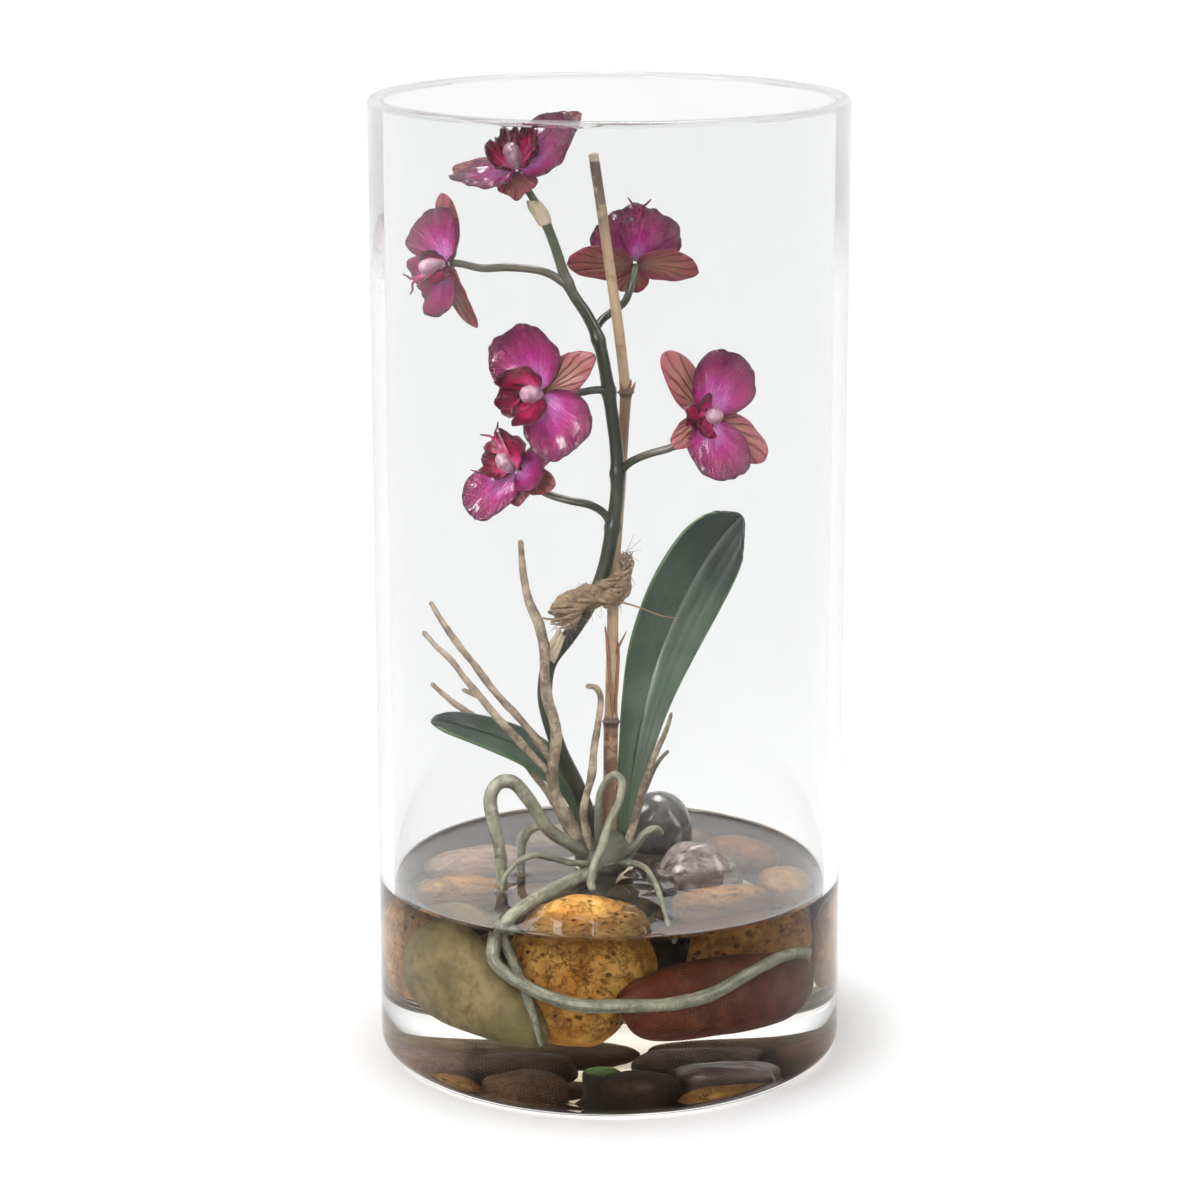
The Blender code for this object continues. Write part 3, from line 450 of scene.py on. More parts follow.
# %% Shape one stone
def stone_shape(centre, radii, turn, narrowing, shoulder, pitted, lean, cuts=26):
    """The stone of the solids, a little boxier, with finer relief on it."""
    shape = bmesh.new()
    bmesh.ops.create_cube(shape, size=2.0)
    bmesh.ops.subdivide_edges(shape, edges=shape.edges, cuts=cuts, use_grid_fill=True)
    spin = Euler([math.radians(angle) for angle in turn]).to_matrix()
    seed = Vector((centre[0], centre[1], 7.0)) * 0.37
    for vert in shape.verts:
        way = vert.co.normalized()
        power = BOXINESS + 1.3 * max(0.0, -way.z)
        lump = sum(abs(part) ** power for part in way) ** (-1 / power)
        lump += sum(high * noise.noise(way * many + seed) for high, many in STONE_LUMPS)
        if pitted:
            hole = noise.noise(way * 11.0 + seed * 2)
            lump -= 0.05 * pitted * max(0.0, hole - 0.18)
        point = Vector([way[axis] * radii[axis] * lump for axis in range(3)])
        taper = 1.0 - narrowing * max(0.0, -way.z) - shoulder * max(0.0, way.z)
        point.x = point.x * taper - lean * point.z
        point.y *= taper
        vert.co = spin @ point * MM
    lowest = min(vert.co.z for vert in shape.verts)
    height = GLASS_FLOOR + STONE_LIFT - lowest if centre[2] is None else centre[2] * MM
    bmesh.ops.translate(shape, verts=shape.verts, vec=(centre[0] * MM, centre[1] * MM, height))
    return shape


# %% [markdown]
# ## Stone surfaces
# Under resin the pebbles look wet: deep in colour and hardly shiny, while the two that stick out of it
# glisten. Their colour varies slowly, they carry dark specks, and the sandy ones are pitted. One recipe
# could give sixteen alike, so each has its own colours, and noise at three sizes gives the clouds, the
# specks and the grain.


# %% Colours of the stones
# Each stone's look: body colour, second colour, speck colour, how pitted it is and how rough.
STONE_LOOKS = {
    "stone_olive": ((0.14, 0.11, 0.042), (0.225, 0.165, 0.075), (0.085, 0.046, 0.017), 0.0, 0.5),
    "stone_ochre": ((0.38, 0.16, 0.024), (0.54, 0.31, 0.085), (0.045, 0.016, 0.004), 1.0, 0.6),
    "stone_red_brown": ((0.085, 0.017, 0.007), (0.115, 0.042, 0.021), (0.03, 0.009, 0.005), 0.0, 0.5),
    "stone_amber": ((0.30, 0.13, 0.028), (0.44, 0.24, 0.07), (0.03, 0.013, 0.005), 0.9, 0.5),
    "stone_porous": ((0.38, 0.18, 0.045), (0.50, 0.29, 0.10), (0.05, 0.025, 0.01), 1.0, 0.6),
    "stone_tawny": ((0.34, 0.17, 0.05), (0.46, 0.26, 0.10), (0.05, 0.025, 0.012), 0.3, 0.5),
    "stone_rust": ((0.26, 0.10, 0.03), (0.34, 0.17, 0.06), (0.07, 0.028, 0.014), 0.3, 0.5),
    "stone_pink_tan": ((0.33, 0.21, 0.16), (0.42, 0.29, 0.22), (0.14, 0.07, 0.04), 0.3, 0.5),
    "stone_tan": ((0.26, 0.19, 0.12), (0.34, 0.26, 0.18), (0.09, 0.06, 0.035), 0.2, 0.5),
    "stone_back": ((0.22, 0.14, 0.08), (0.30, 0.20, 0.13), (0.08, 0.045, 0.02), 0.2, 0.5),
    "stone_purple": ((0.12, 0.075, 0.07), (0.36, 0.30, 0.28), (0.035, 0.016, 0.014), 0.0, 0.22),
    "stone_base": ((0.15, 0.11, 0.09), (0.22, 0.17, 0.14), (0.05, 0.04, 0.03), 0.1, 0.5),
    "stone_grey": ((0.055, 0.05, 0.046), (0.12, 0.11, 0.10), (0.02, 0.018, 0.015), 0.0, 0.18),
    "stone_brown": ((0.13, 0.075, 0.04), (0.19, 0.12, 0.07), (0.04, 0.02, 0.012), 0.2, 0.5),
    "stone_dark": ((0.06, 0.04, 0.028), (0.10, 0.07, 0.05), (0.02, 0.014, 0.01), 0.1, 0.5),
    "stone_umber": ((0.10, 0.06, 0.035), (0.15, 0.10, 0.06), (0.035, 0.02, 0.012), 0.1, 0.5),
}
ABOVE_RESIN = ("stone_grey", "stone_purple")
print("stone colours:", len(STONE_LOOKS))


# %% [markdown]
# ## Paint and place the stones
# The two tables and the two functions now make all the stones in one loop. The specks use the third
# colour of a stone, and so do its pits and cracks, because little light comes back out of them.


# %% Make the stones
def dimmed(colour, share):
    return tuple(share * part for part in colour)


def stone_paint(name, body, second, speck, pitted, rough):
    paint = Paint(name, Roughness=rough, Specular_IOR_Level=0.6 if name in ABOVE_RESIN else 0.06)
    clouds = paint.patches(70, 0.38, 0.66, 4)
    stains = paint.patches(230, 0.40, 0.66, 4, 0.65, 0.4)
    colour = paint.coats(body, (clouds * 0.85, second), (stains * 0.6, dimmed(body, 0.5)),
                         (paint.specks(520, 0.30, 0.40) * 0.6, speck))
    if name == "stone_purple":
        hairs = paint.noise(1.0, 3, 0.6, paint.node("ShaderNodeVectorMath", {"operation": "MULTIPLY"},
                                                    {0: paint.here(), 1: (140, 700, 260)}))
        colour = paint.mix(paint.step(hairs, 0.5, 0.58) * paint.step(clouds, 0.2, 0.6) * 0.8, colour, speck)
    relief = paint.noise(210, 5, 0.6)
    if not pitted:
        return paint.finished(colour, relief, 0.5, 0.5)
    pores = paint.fade(paint.cells(330), 0.10, 0.30) * paint.patches(120, 0.38, 0.58, 2, 0.5) * pitted
    cracks = paint.fade(paint.size(paint.noise(120, 6, 0.75) - 0.5), 0.002, 0.020)
    colour = paint.coats(colour, (cracks * 0.6 * pitted, speck), (pores * 0.85, speck))
    return paint.finished(colour, relief - pores - cracks * 0.4, 0.8, 0.9)


stones = []
for name, centre, radii, turn, *taper in STONES:
    narrowing, shoulder = taper or (0.0, 0.0)
    material = stone_paint(name, *STONE_LOOKS[name])
    pitted = STONE_LOOKS[name][3]
    shape = stone_shape(centre, radii, turn, narrowing, shoulder, pitted, LEAN.get(name, 0.0))
    stones.append(dress(name + "_worn", shape, name, name, material))
print("stones:", len(stones))

# %% [markdown]
# ## The resin
# Clear resin was poured over the stones and looks like still water. It could be cut round every stone, as
# the solid is, but light would then meet two faces at each stone. Here it is one turned disc that the
# stones simply stand in. Its top has many rings, so that it can later creep up whatever stands in it.


# %% Make the resin
RESIN_GAP, RESIN_RINGS = 0.05 * MM, 110
UNDER_TOP = WATER_LEVEL - 0.01 * MM


def water_profile():
    outer = INNER_RADIUS - RESIN_GAP
    bottom = GLASS_FLOOR + RESIN_GAP
    profile = [(0, bottom)] + arc((outer - FLOOR_ROUND, bottom + FLOOR_ROUND), FLOOR_ROUND, -90, 0, 6)
    top = [(outer, WATER_LEVEL)]
    for ring in range(1, RESIN_RINGS + 1):
        share = 1 - ring / RESIN_RINGS
        top.append((outer * (0.35 * share + 0.65 * share ** 0.7), WATER_LEVEL))
    return profile + top


water = dress("resin_water", turned(water_profile()), "water", "clear_resin", clear_resin.material,
              resin_contact.material, sharp=40)
mark_faces(water, 1, lambda centre: centre.z < UNDER_TOP)
print("resin faces:", len(water.data.polygons))

# %% [markdown]
# ## Smooth paths
# The spike, the roots and the twine all follow curves that were traced as a few points, each with a
# radius. A curve object with a bevel could follow them too, but its rings can't carry knobs of their own.
# So the points are first joined smoothly and cut into even steps, and the rings are placed on those.


# %% Smooth a path
def smooth_path(points, per_span):
    """Catmull-Rom points through the given points of any dimension."""
    result = []
    for index in range(len(points) - 1):
        before = points[max(index - 1, 0)]
        start, end = points[index], points[index + 1]
        after = points[min(index + 2, len(points) - 1)]
        for step in range(per_span):
            t = step / per_span
            result.append(tuple(0.5 * (2 * b + (c - a) * t + (2 * a - 5 * b + 4 * c - d) * t * t
                                       + (3 * b - a - 3 * c + d) * t ** 3)
                                for a, b, c, d in zip(before, start, end, after)))
    return result + [tuple(points[-1])]


def even_path(points, spacing):
    """The smooth path cut into even steps: positions and radii in millimetres."""
    fine = smooth_path(points, 12)
    lengths = [0.0]
    for here, there in zip(fine, fine[1:]):
        lengths.append(lengths[-1] + math.dist(here[:3], there[:3]))
    count = max(6, round(lengths[-1] / spacing))
    spots, index = [], 0
    for step in range(count + 1):
        goal = lengths[-1] * step / count
        while index < len(fine) - 2 and lengths[index + 1] < goal:
            index += 1
        share = (goal - lengths[index]) / max(lengths[index + 1] - lengths[index], 1e-9)
        spots.append(Vector(fine[index]).lerp(Vector(fine[index + 1]), share))
    return spots, lengths[-1]


def carried_frames(centres):
    """Two directions across the path at each of its points, turned as little as possible."""
    frames, side, last = [], None, len(centres) - 1
    for index in range(last + 1):
        ahead = (centres[min(index + 1, last)] - centres[max(index - 1, 0)]).normalized()
        side = (side - ahead * side.dot(ahead)).normalized() if side else ahead.orthogonal().normalized()
        frames.append((side.copy(), ahead.cross(side)))
    return frames


# %% [markdown]
# ## Wrap a tube round a path
# Everything long and round starts as a flat grid that is wrapped round its path. The ring is turned as
# little as possible from one step to the next, so the surface doesn't twist. The grid's own UV map then
# runs along the tube and round it.


# %% Wrap a tube
def add_tube(shape, points, sides=14, spacing=0.7, relief=None, blunt=1.0):
    """Add a closed tube to a bmesh. relief(turn, spot) gives a change of radius in millimetres."""
    spots, length = even_path(points, spacing)
    centres = [Vector(spot[:3]) for spot in spots]
    last = len(spots) - 1
    made = bmesh.ops.create_grid(shape, x_segments=last, y_segments=sides, size=0.5, calc_uvs=True)
    frames = carried_frames(centres)
    for vert in made["verts"]:
        index = round((vert.co.x + 0.5) * last)
        turn = math.tau * (vert.co.y + 0.5)
        radius = spots[index][3]
        along = length * index / last
        end = min(along, length - along) / (radius * blunt)
        if relief:
            radius += relief(turn, centres[index])
        if end < 1:
            radius *= math.sqrt(max(0.0, 1 - (1 - end) ** 2))
        across, around = frames[index]
        vert.co = (centres[index] + (across * math.cos(turn) + around * math.sin(turn)) * radius) * MM
    return shape


def new_shape():
    shape = bmesh.new()
    shape.loops.layers.uv.new("UVMap")
    return shape


def close_shape(shape, merge=0.004 * MM):
    """Weld seams and poles, and turn the faces outward."""
    bmesh.ops.remove_doubles(shape, verts=shape.verts, dist=merge)
    bmesh.ops.recalc_face_normals(shape, faces=shape.faces)
    return shape


# %% [markdown]
# ## Knobbly skins
# No stalk or root is a plain pipe. Bumps in a material would leave its outline smooth, so slow noise
# changes the tube's radius itself.


# %% Relief for roots
def ripple(x, y=0.0, z=0.0):
    """Smooth noise between -1 and 1."""
    return noise.noise(Vector((x, y, z)))


def knobbly(size, seed, grain=0.5):
    """Relief for roots: slow swellings, then a finer roughness."""
    shift = Vector((seed * 3.1, seed * 1.7, seed * 0.9))

    def relief(turn, spot):
        around = Vector((math.cos(turn), math.sin(turn), 0)) * 0.5
        slow = noise.noise(spot * 0.16 + around * 0.6 + shift)
        fine = noise.noise(spot * 0.8 + around * 2.0 + shift)
        return size * (slow + grain * fine)
    return relief


# %% [markdown]
# ## Path of the flower stem
# The artificial spike is a bent wire core in a plastic skin, with a stalk to each bloom. All of it was
# traced from the front, as points with a radius, and the depth was judged from what hides what.

# %% Paths of the spike and its stalks
SPIKE = [(-4.6, 2.4, 57.0, 2.2), (-5.4, 2.0, 62.4, 2.2), (-8.7, 1, 72.4, 2.15), (-13.7, -1, 84.1, 2.1),
         (-17.0, -3, 95.8, 2.1), (-17.5, -3, 102.7, 2.05), (-15.9, -3, 109.6, 2.0),
         (-10.9, -3, 116.5, 2.0), (-5.9, -3, 124.3, 2.0), (-1.7, -2.5, 133.7, 2.0),
         (0.7, -2, 145.4, 1.95), (2.1, -2, 156.4, 1.9), (1.9, -2, 167.5, 1.8), (0.5, -2, 178.6, 1.75),
         (-1.2, -2, 189.7, 1.7), (-3.1, -2, 198.0, 1.65), (-5.9, -2, 204.1, 1.55),
         (-9.5, -2, 209.6, 1.45), (-12.0, -3, 215.3, 1.4), (-14.5, -4, 223.2, 1.3),
         (-17.2, -5, 230.3, 1.25), (-19.6, -5.5, 235.0, 1.15)]
PEDICELS = {
    "bloom_top": [(-17.2, -5, 230.3, 1.0), (-19.6, -5.5, 235.0, 1.0), (-22.0, -5.0, 238.6, 0.95)],
    "bloom_left": [(-11.6, -3, 212.4, 1.1), (-15.6, -4, 215.4, 1.1), (-20.5, -4.5, 216.8, 1.05),
                   (-27.3, -4.5, 217.3, 1.05), (-33.5, -4.5, 217.1, 1.05)],
    "bloom_back": [(-3.4, -1.6, 197.5, 1.1), (-3.6, 2.6, 199.4, 1.1), (-1.8, 6.6, 201.6, 1.1),
                   (1.6, 9.4, 203.8, 1.05), (4.6, 10.8, 206.4, 1.05)],
    "bloom_large": [(-0.3, -2.2, 183.6, 1.1), (-3.4, -4, 184.4, 1.05), (-7.8, -6.2, 184.1, 1.05),
                    (-12.4, -8.6, 183.7, 1.05)],
    "bloom_low": [(0.7, -2, 146.5, 1.15), (-1.4, -2.6, 150.4, 1.1), (-5.3, -3, 152.9, 1.1),
                  (-10.8, -2.4, 153.9, 1.05), (-16.4, -0.6, 155.3, 1.05), (-20.0, 0.8, 157.3, 1.05)],
    "bloom_right": [(2.3, -2.2, 161.2, 1.15), (5.7, -4, 164.8, 1.1), (10.7, -5.6, 167.4, 1.05),
                    (16.2, -6.6, 169.2, 1.05), (22.4, -7.0, 172.2, 1.05)],
}
print("points on the spike:", len(SPIKE), "stalks:", len(PEDICELS))

# %% [markdown]
# ## Where the blooms are
# Each stalk has to end at the back of its own bloom, so the blooms are listed before the stem is made.
# They face different ways, as the blooms of a real spike do.

# %% Places of the blooms
# Each bloom: centre, the way it faces, scale, sepals and petals as (angle, length, width, bend, roll), the
# lip's angle, its size and how far its two whiskers reach.
BLOOMS = [
    ("bloom_top", (-24, -8, 243.0), (-0.14, -0.66, 0.74), 0.98,
     [(52, 21.0, 10.0, 0.16, 0), (178, 16.0, 10.5, -0.05, 10), (-82, 6.0, 11.0, -0.5, 0)],
     [(37, 19.0, 20.0, 0.42, -8), (205, 17.5, 15.0, 0.16, 20)], 112, 1.0, 0),
    ("bloom_left", (-41.8, -8.4, 218.8), (-0.72, -0.69, 0.05), 0.93,
     [(100, 17.5, 9.5, 0.02, 0), (-86, 17.0, 8.5, -0.42, 0), (205, 14.0, 9.0, -0.3, 0)],
     [(112, 15.0, 21.0, 0.16, 0), (-122, 14.6, 22.0, 0.2, 0)], 215, 0.76, 10),
    ("bloom_back", (7, 15.5, 215.0), (0.08, 0.80, 0.60), 0.95,
     [(6, 17.5, 12.5, -0.1, 12), (178, 16.5, 11.0, -0.14, -8), (-72, 9.5, 11.0, -0.2, 0)],
     [(72, 14.5, 24.0, 0.5, 0), (128, 14.5, 19.0, 0.5, 0)], 95, 1.0, 16.5),
    ("bloom_large", (-17.6, -15, 185.6), (-0.33, -0.93, 0.16), 1.04,
     [(38, 15.0, 10.5, -0.05, 0), (152, 13.0, 10.0, -0.2, 0), (-88, 14.0, 10.0, -0.2, 0)],
     [(119, 17.2, 18.8, 0.2, 0), (-56, 17.2, 18.8, 0.22, 0)], 200, 1.08, 0),
    ("bloom_low", (-24.5, -3.5, 161.8), (-0.52, -0.66, 0.54), 0.92,
     [(350, 13.0, 9.0, 0.0, 0), (60, 13.0, 9.0, -0.3, 0), (285, 8.0, 9.0, -0.3, 0)],
     [(234, 19.5, 17.0, 0.1, -6), (5, 13.0, 15.0, 0.20, 0)], 135, 1.12, 12),
    ("bloom_right", (25.6, -12, 178.6), (0.32, -0.92, 0.22), 1.0,
     [(-36, 16.5, 11.0, 0.02, 0), (119, 18.0, 9.6, -0.04, 0), (218, 11.0, 7.0, 0.1, 30)],
     [(64, 17.4, 18.0, 0.20, 0), (-82, 16.4, 16.8, 0.24, 0)], 176, 0.82, 0),
]
print("blooms placed:", len(BLOOMS))


# %% [markdown]
# ## Shape of the flower stem
# Each stalk leaves from a slight swelling. The stalks could be joined to the spike with a boolean, but
# tubes that simply run into each other look the same and keep their clean grids.


# %% Shape the flower stem
def make_stem():
    shape = new_shape()
    joints = [Vector(path[0][:3]) for path in PEDICELS.values()]

    def ridged(turn, spot):
        near = min((spot - joint).length for joint in joints)
        swelling = 0.45 * math.exp(-(near / 1.6) ** 2)
        return swelling + 0.05 * noise.noise(spot * 0.5) + 0.02 * math.cos(turn * 9)

    add_tube(shape, SPIKE, 24, 0.6, ridged)
    for name, centre, facing, *rest in BLOOMS:
        normal = Vector(facing).normalized()
        lead, end = Vector(centre) - normal * 2.95, Vector(centre) - normal * 0.3
        stalk = PEDICELS[name] + [(*lead, 1.0), (*end, 1.25)]
        add_tube(shape, stalk, 16, 0.5, knobbly(0.05, 2.0))
    return close_shape(shape)


# %% [markdown]
# ## Skin of the flower stem
# The skin is satin plastic with a thin gloss. It is dark olive low down, greener near the top, and its
# stalks turn brownish grey. Height and distance from the middle tell these parts apart, so one material
# is enough.


# %% Make the flower stem
def stem_paint():
    paint = Paint("stem_green", Roughness=0.3, Specular_IOR_Level=0.22, Coat_Weight=0.35,
                  Coat_Roughness=0.05)
    height, lines, patches = paint.height(), paint.streaks(6, 40), paint.patches(120, 0.4, 0.65)
    low = paint.mix(patches, (0.018, 0.020, 0.011), (0.032, 0.034, 0.020))
    high = paint.mix(patches, (0.045, 0.062, 0.026), (0.075, 0.08, 0.046))
    brown = paint.mix(patches, (0.075, 0.058, 0.042), (0.115, 0.098, 0.078))
    aside = paint.step(paint.size(paint.along(paint.here(), 0) + 0.001), 0.007, 0.013)
    stalks = aside * paint.step(height, 0.148, 0.152) * paint.fade(height, 0.2175, 0.221)
    colour = paint.coats(low, (paint.step(height, 0.198, 0.222), high), (stalks * 0.85, brown),
                         (paint.step(lines, 0.5, 0.75) * 0.3, (0.16, 0.15, 0.12)))
    return paint.finished(colour, lines, 0.1, 0.5)


stem = dress("spike_and_stalks", make_stem(), "flower_stem", "stem_green", stem_paint(), sharp=60)
print("stem faces:", len(stem.data.polygons))

# %% [markdown]
# ## Bamboo cane
# A real bamboo skewer holds the spike upright. It has two joints with ragged scars. Thin reddish
# splinters stand beside it above the lower joint, and ragged straw at the upper one. They are thin tubes
# of their own, because wood that has split off needs real edges.

# %% Shape the cane
STAKE = [(-0.2, 6, 52.5, 2.0), (0.2, 6, 68.1, 2.0), (0.4, 6, 87.4, 2.0), (0.5, 6, 89.9, 2.35),
         (0.5, 6, 92.6, 1.8), (0.8, 5, 110.2, 1.65), (1.3, 4.4, 132.8, 1.55), (3.0, 4, 157.9, 1.5),
         (4.3, 4, 179.6, 1.5), (4.4, 4, 182.4, 2.3), (4.2, 4, 184.4, 1.45), (2.4, 4, 199.7, 1.4),
         (-0.9, 4, 223.4, 1.4), (-4.3, 4, 246.6, 1.35)]
CANE_JOINTS = (89.9, 182.2)
SPLINTERS = [
    [(-1.2, 3.9, 117.6, 0.2), (-0.6, 3.4, 112.0, 0.42), (0.0, 3.3, 104.0, 0.46), (0.6, 3.4, 97.0, 0.42),
     (0.9, 3.7, 91.5, 0.25)],
    [(2.6, 4.3, 113.0, 0.18), (2.5, 4.2, 107.5, 0.36), (2.1, 4.2, 100.0, 0.40), (1.6, 4.3, 92.8, 0.25)],
    [(4.6, 3.0, 181.6, 0.5), (6.2, 2.4, 183.4, 0.42), (7.0, 2.2, 185.6, 0.12)],
    [(4.6, 3.4, 182.4, 0.45), (5.6, 2.6, 184.6, 0.35), (5.8, 2.4, 186.4, 0.1)],
    [(4.0, 3.0, 182.0, 0.5), (3.2, 2.2, 184.0, 0.4), (2.6, 1.9, 186.0, 0.1)],
    [(2.0, 4.0, 110.0, 0.3), (3.4, 3.4, 113.6, 0.34), (4.8, 3.0, 116.4, 0.12)],
]


def make_cane():
    shape = new_shape()

    def woody(turn, spot):
        line = ripple(math.cos(turn) * 2.2, math.sin(turn) * 2.2, spot.z * 0.05)
        scar = sum(math.exp(-((spot.z - joint) / 0.9) ** 2) for joint in CANE_JOINTS)
        ragged = 0.5 + 0.5 * ripple(turn * 3.0, 0, spot.z)
        return 0.10 * line + 0.30 * scar * ragged

    add_tube(shape, STAKE, 26, 0.5, woody, blunt=0.25)
    for splinter in SPLINTERS:
        add_tube(shape, splinter, 10, 0.5, knobbly(0.08, 5.0))
    return close_shape(shape)


# %% [markdown]
# ## Wood of the cane
# The cane is straw-coloured wood with brown stains, and below its lower joint it is reddish and peeling.
# The splinters are redder than the cane, so they have a material of their own, given to the faces that
# lie near their paths.


# %% Make the cane
def splinter_paint():
    paint = Paint("splinter_brown", Roughness=0.5)
    grain = paint.streaks(12, 9, 4)
    return paint.finished(paint.mix(grain, (0.09, 0.03, 0.014), (0.34, 0.14, 0.06)), grain, 0.15, 0.8)


def cane_paint():
    paint = Paint("bamboo", Roughness=0.55)
    height, grain = paint.height(), paint.streaks(14, 30, 4)
    low = paint.fade(height, 0.086, 0.0935)
    freckles = paint.fade(paint.cells(700), 0.10, 0.26)
    reddish = paint.coats(paint.mix(grain, (0.09, 0.035, 0.015), (0.21, 0.095, 0.045)),
                          (freckles, (0.03, 0.012, 0.008)),
                          (paint.patches(210, 0.50, 0.56, 3, 0.6, 0.5) * 0.6, (0.36, 0.22, 0.13)))
    straw = paint.mix(grain, (0.23, 0.135, 0.065), (0.48, 0.34, 0.20))
    stains = paint.patches(170, 0.50, 0.68, 3, 0.65)
    colour = paint.coats(straw, (stains * 0.6, (0.13, 0.065, 0.03)), (low, reddish))
    for joint in CANE_JOINTS:
        near = paint.fade(paint.size(height - joint * MM), 0.0008, 0.0022)
        colour = paint.mix(near * 0.85, colour, (0.045, 0.018, 0.010))
    below = paint.step(height, 0.160, 0.172) * paint.fade(height, 0.1800, 0.1812)
    tip = paint.step(height, 0.2180, 0.2400) * paint.patches(230, 0.44, 0.50, 2)
    colour = paint.coats(colour, (below * 0.7, (0.15, 0.065, 0.03)), (tip * 0.85, (0.05, 0.016, 0.012)),
                         (paint.step(height, 0.2440, 0.2446), (0.52, 0.42, 0.28)))
    return paint.finished(colour, grain - freckles * low * 0.3, 0.2, 0.8)


cane = dress("bamboo_cane", make_cane(), "bamboo_stake", "bamboo", cane_paint(), splinter_paint(), sharp=60)
splinter_spots = [Vector(spot[:3]) * MM for path in SPLINTERS for spot in even_path(path, 0.6)[0]]
mark_faces(cane, 1, lambda centre: min((centre - spot).length for spot in splinter_spots) < 0.55 * MM)
print("cane faces:", len(cane.data.polygons))

# %% [markdown]
# ## Paths of the roots
# Dry aerial roots rise to the left and right of the plant. The live ones arch over the resin, and one
# runs through it along the front glass. They are traced as the spike was, each point with its radius.

# %% Paths of the roots
TAN_ROOTS_LEFT = [
    [(-23.8, -6, 144.1, 0.7), (-23.2, -7, 135.5, 1.0), (-21.6, -8, 127.5, 1.2),
     (-18.8, -8, 120.6, 1.35), (-17.4, -8.4, 113.7, 1.4), (-17.4, -8.8, 106.8, 1.45),
     (-16.6, -9, 100.0, 1.5), (-14.7, -9, 93.9, 1.55), (-14.4, -8.6, 87.6, 1.6),
     (-15.5, -7.8, 80.4, 1.6), (-15.3, -6.6, 74.0, 1.65), (-13.1, -5.4, 68.7, 1.7),
     (-10.4, -3.6, 63.1, 1.7), (-8.4, -1.0, 56.1, 1.6)],
    [(-48.6, -2, 126.0, 0.6), (-45.5, -3, 120.7, 0.8), (-40.7, -4, 114.0, 0.9),
     (-36.3, -5, 108.8, 0.95), (-31.5, -6, 102.2, 1.0), (-25.4, -7, 95.6, 1.05),
     (-20.5, -8, 90.1, 1.1), (-15.6, -8, 83.0, 1.1)],
    [(-50.2, -8, 119.2, 0.6), (-46.6, -9, 115.4, 0.75), (-42.4, -10, 111.5, 0.85),
     (-38.3, -10.4, 106.0, 0.9), (-32.8, -10.6, 99.0, 0.95), (-28.1, -10.6, 93.4, 1.0),
     (-23.6, -10, 88.0, 1.0), (-15.9, -8, 79.0, 1.0)],
    [(-49.5, 6, 101.0, 0.6), (-44.0, 5.6, 96.0, 0.7), (-38.6, 5.4, 92.4, 0.8),
     (-32.0, 6.6, 86.8, 0.85), (-24.6, 8.4, 78.4, 0.9), (-17.6, 8.0, 69.4, 0.95),
     (-12.6, 3.6, 61.4, 1.0), (-8.8, -0.8, 56.4, 1.0)],
    [(-39.8, -10.4, 103.6, 0.55), (-37.4, -10.4, 102.6, 0.7), (-35.0, -10.6, 101.6, 0.85)],
]
TAN_ROOT_MIDDLE = [
    [(-6.6, 0.0, 101.6, 0.6), (-3.6, -0.4, 101.2, 0.8), (-2.4, -0.6, 97.7, 0.9),
     (-3.0, -1.0, 91.6, 1.0), (-4.2, -2.2, 84.1, 1.1), (-4.8, -3.6, 77.5, 1.15),
     (-6.4, -4.6, 71.4, 1.15), (-7.0, -4.4, 66.4, 1.15), (-6.0, -3.2, 60.0, 1.15),
     (-4.8, -2.2, 55.5, 1.1)],
]
TAN_ROOT_RIGHT = [
    [(17.2, 2, 93.8, 0.45), (15.5, 3, 87.9, 0.7), (12.7, 4, 81.2, 0.85), (10.4, 4.6, 74.5, 0.95),
     (8.6, 4.6, 68.1, 1.05), (6.8, 4.2, 61.1, 1.1), (4.8, 3.6, 54.5, 1.1)],
]
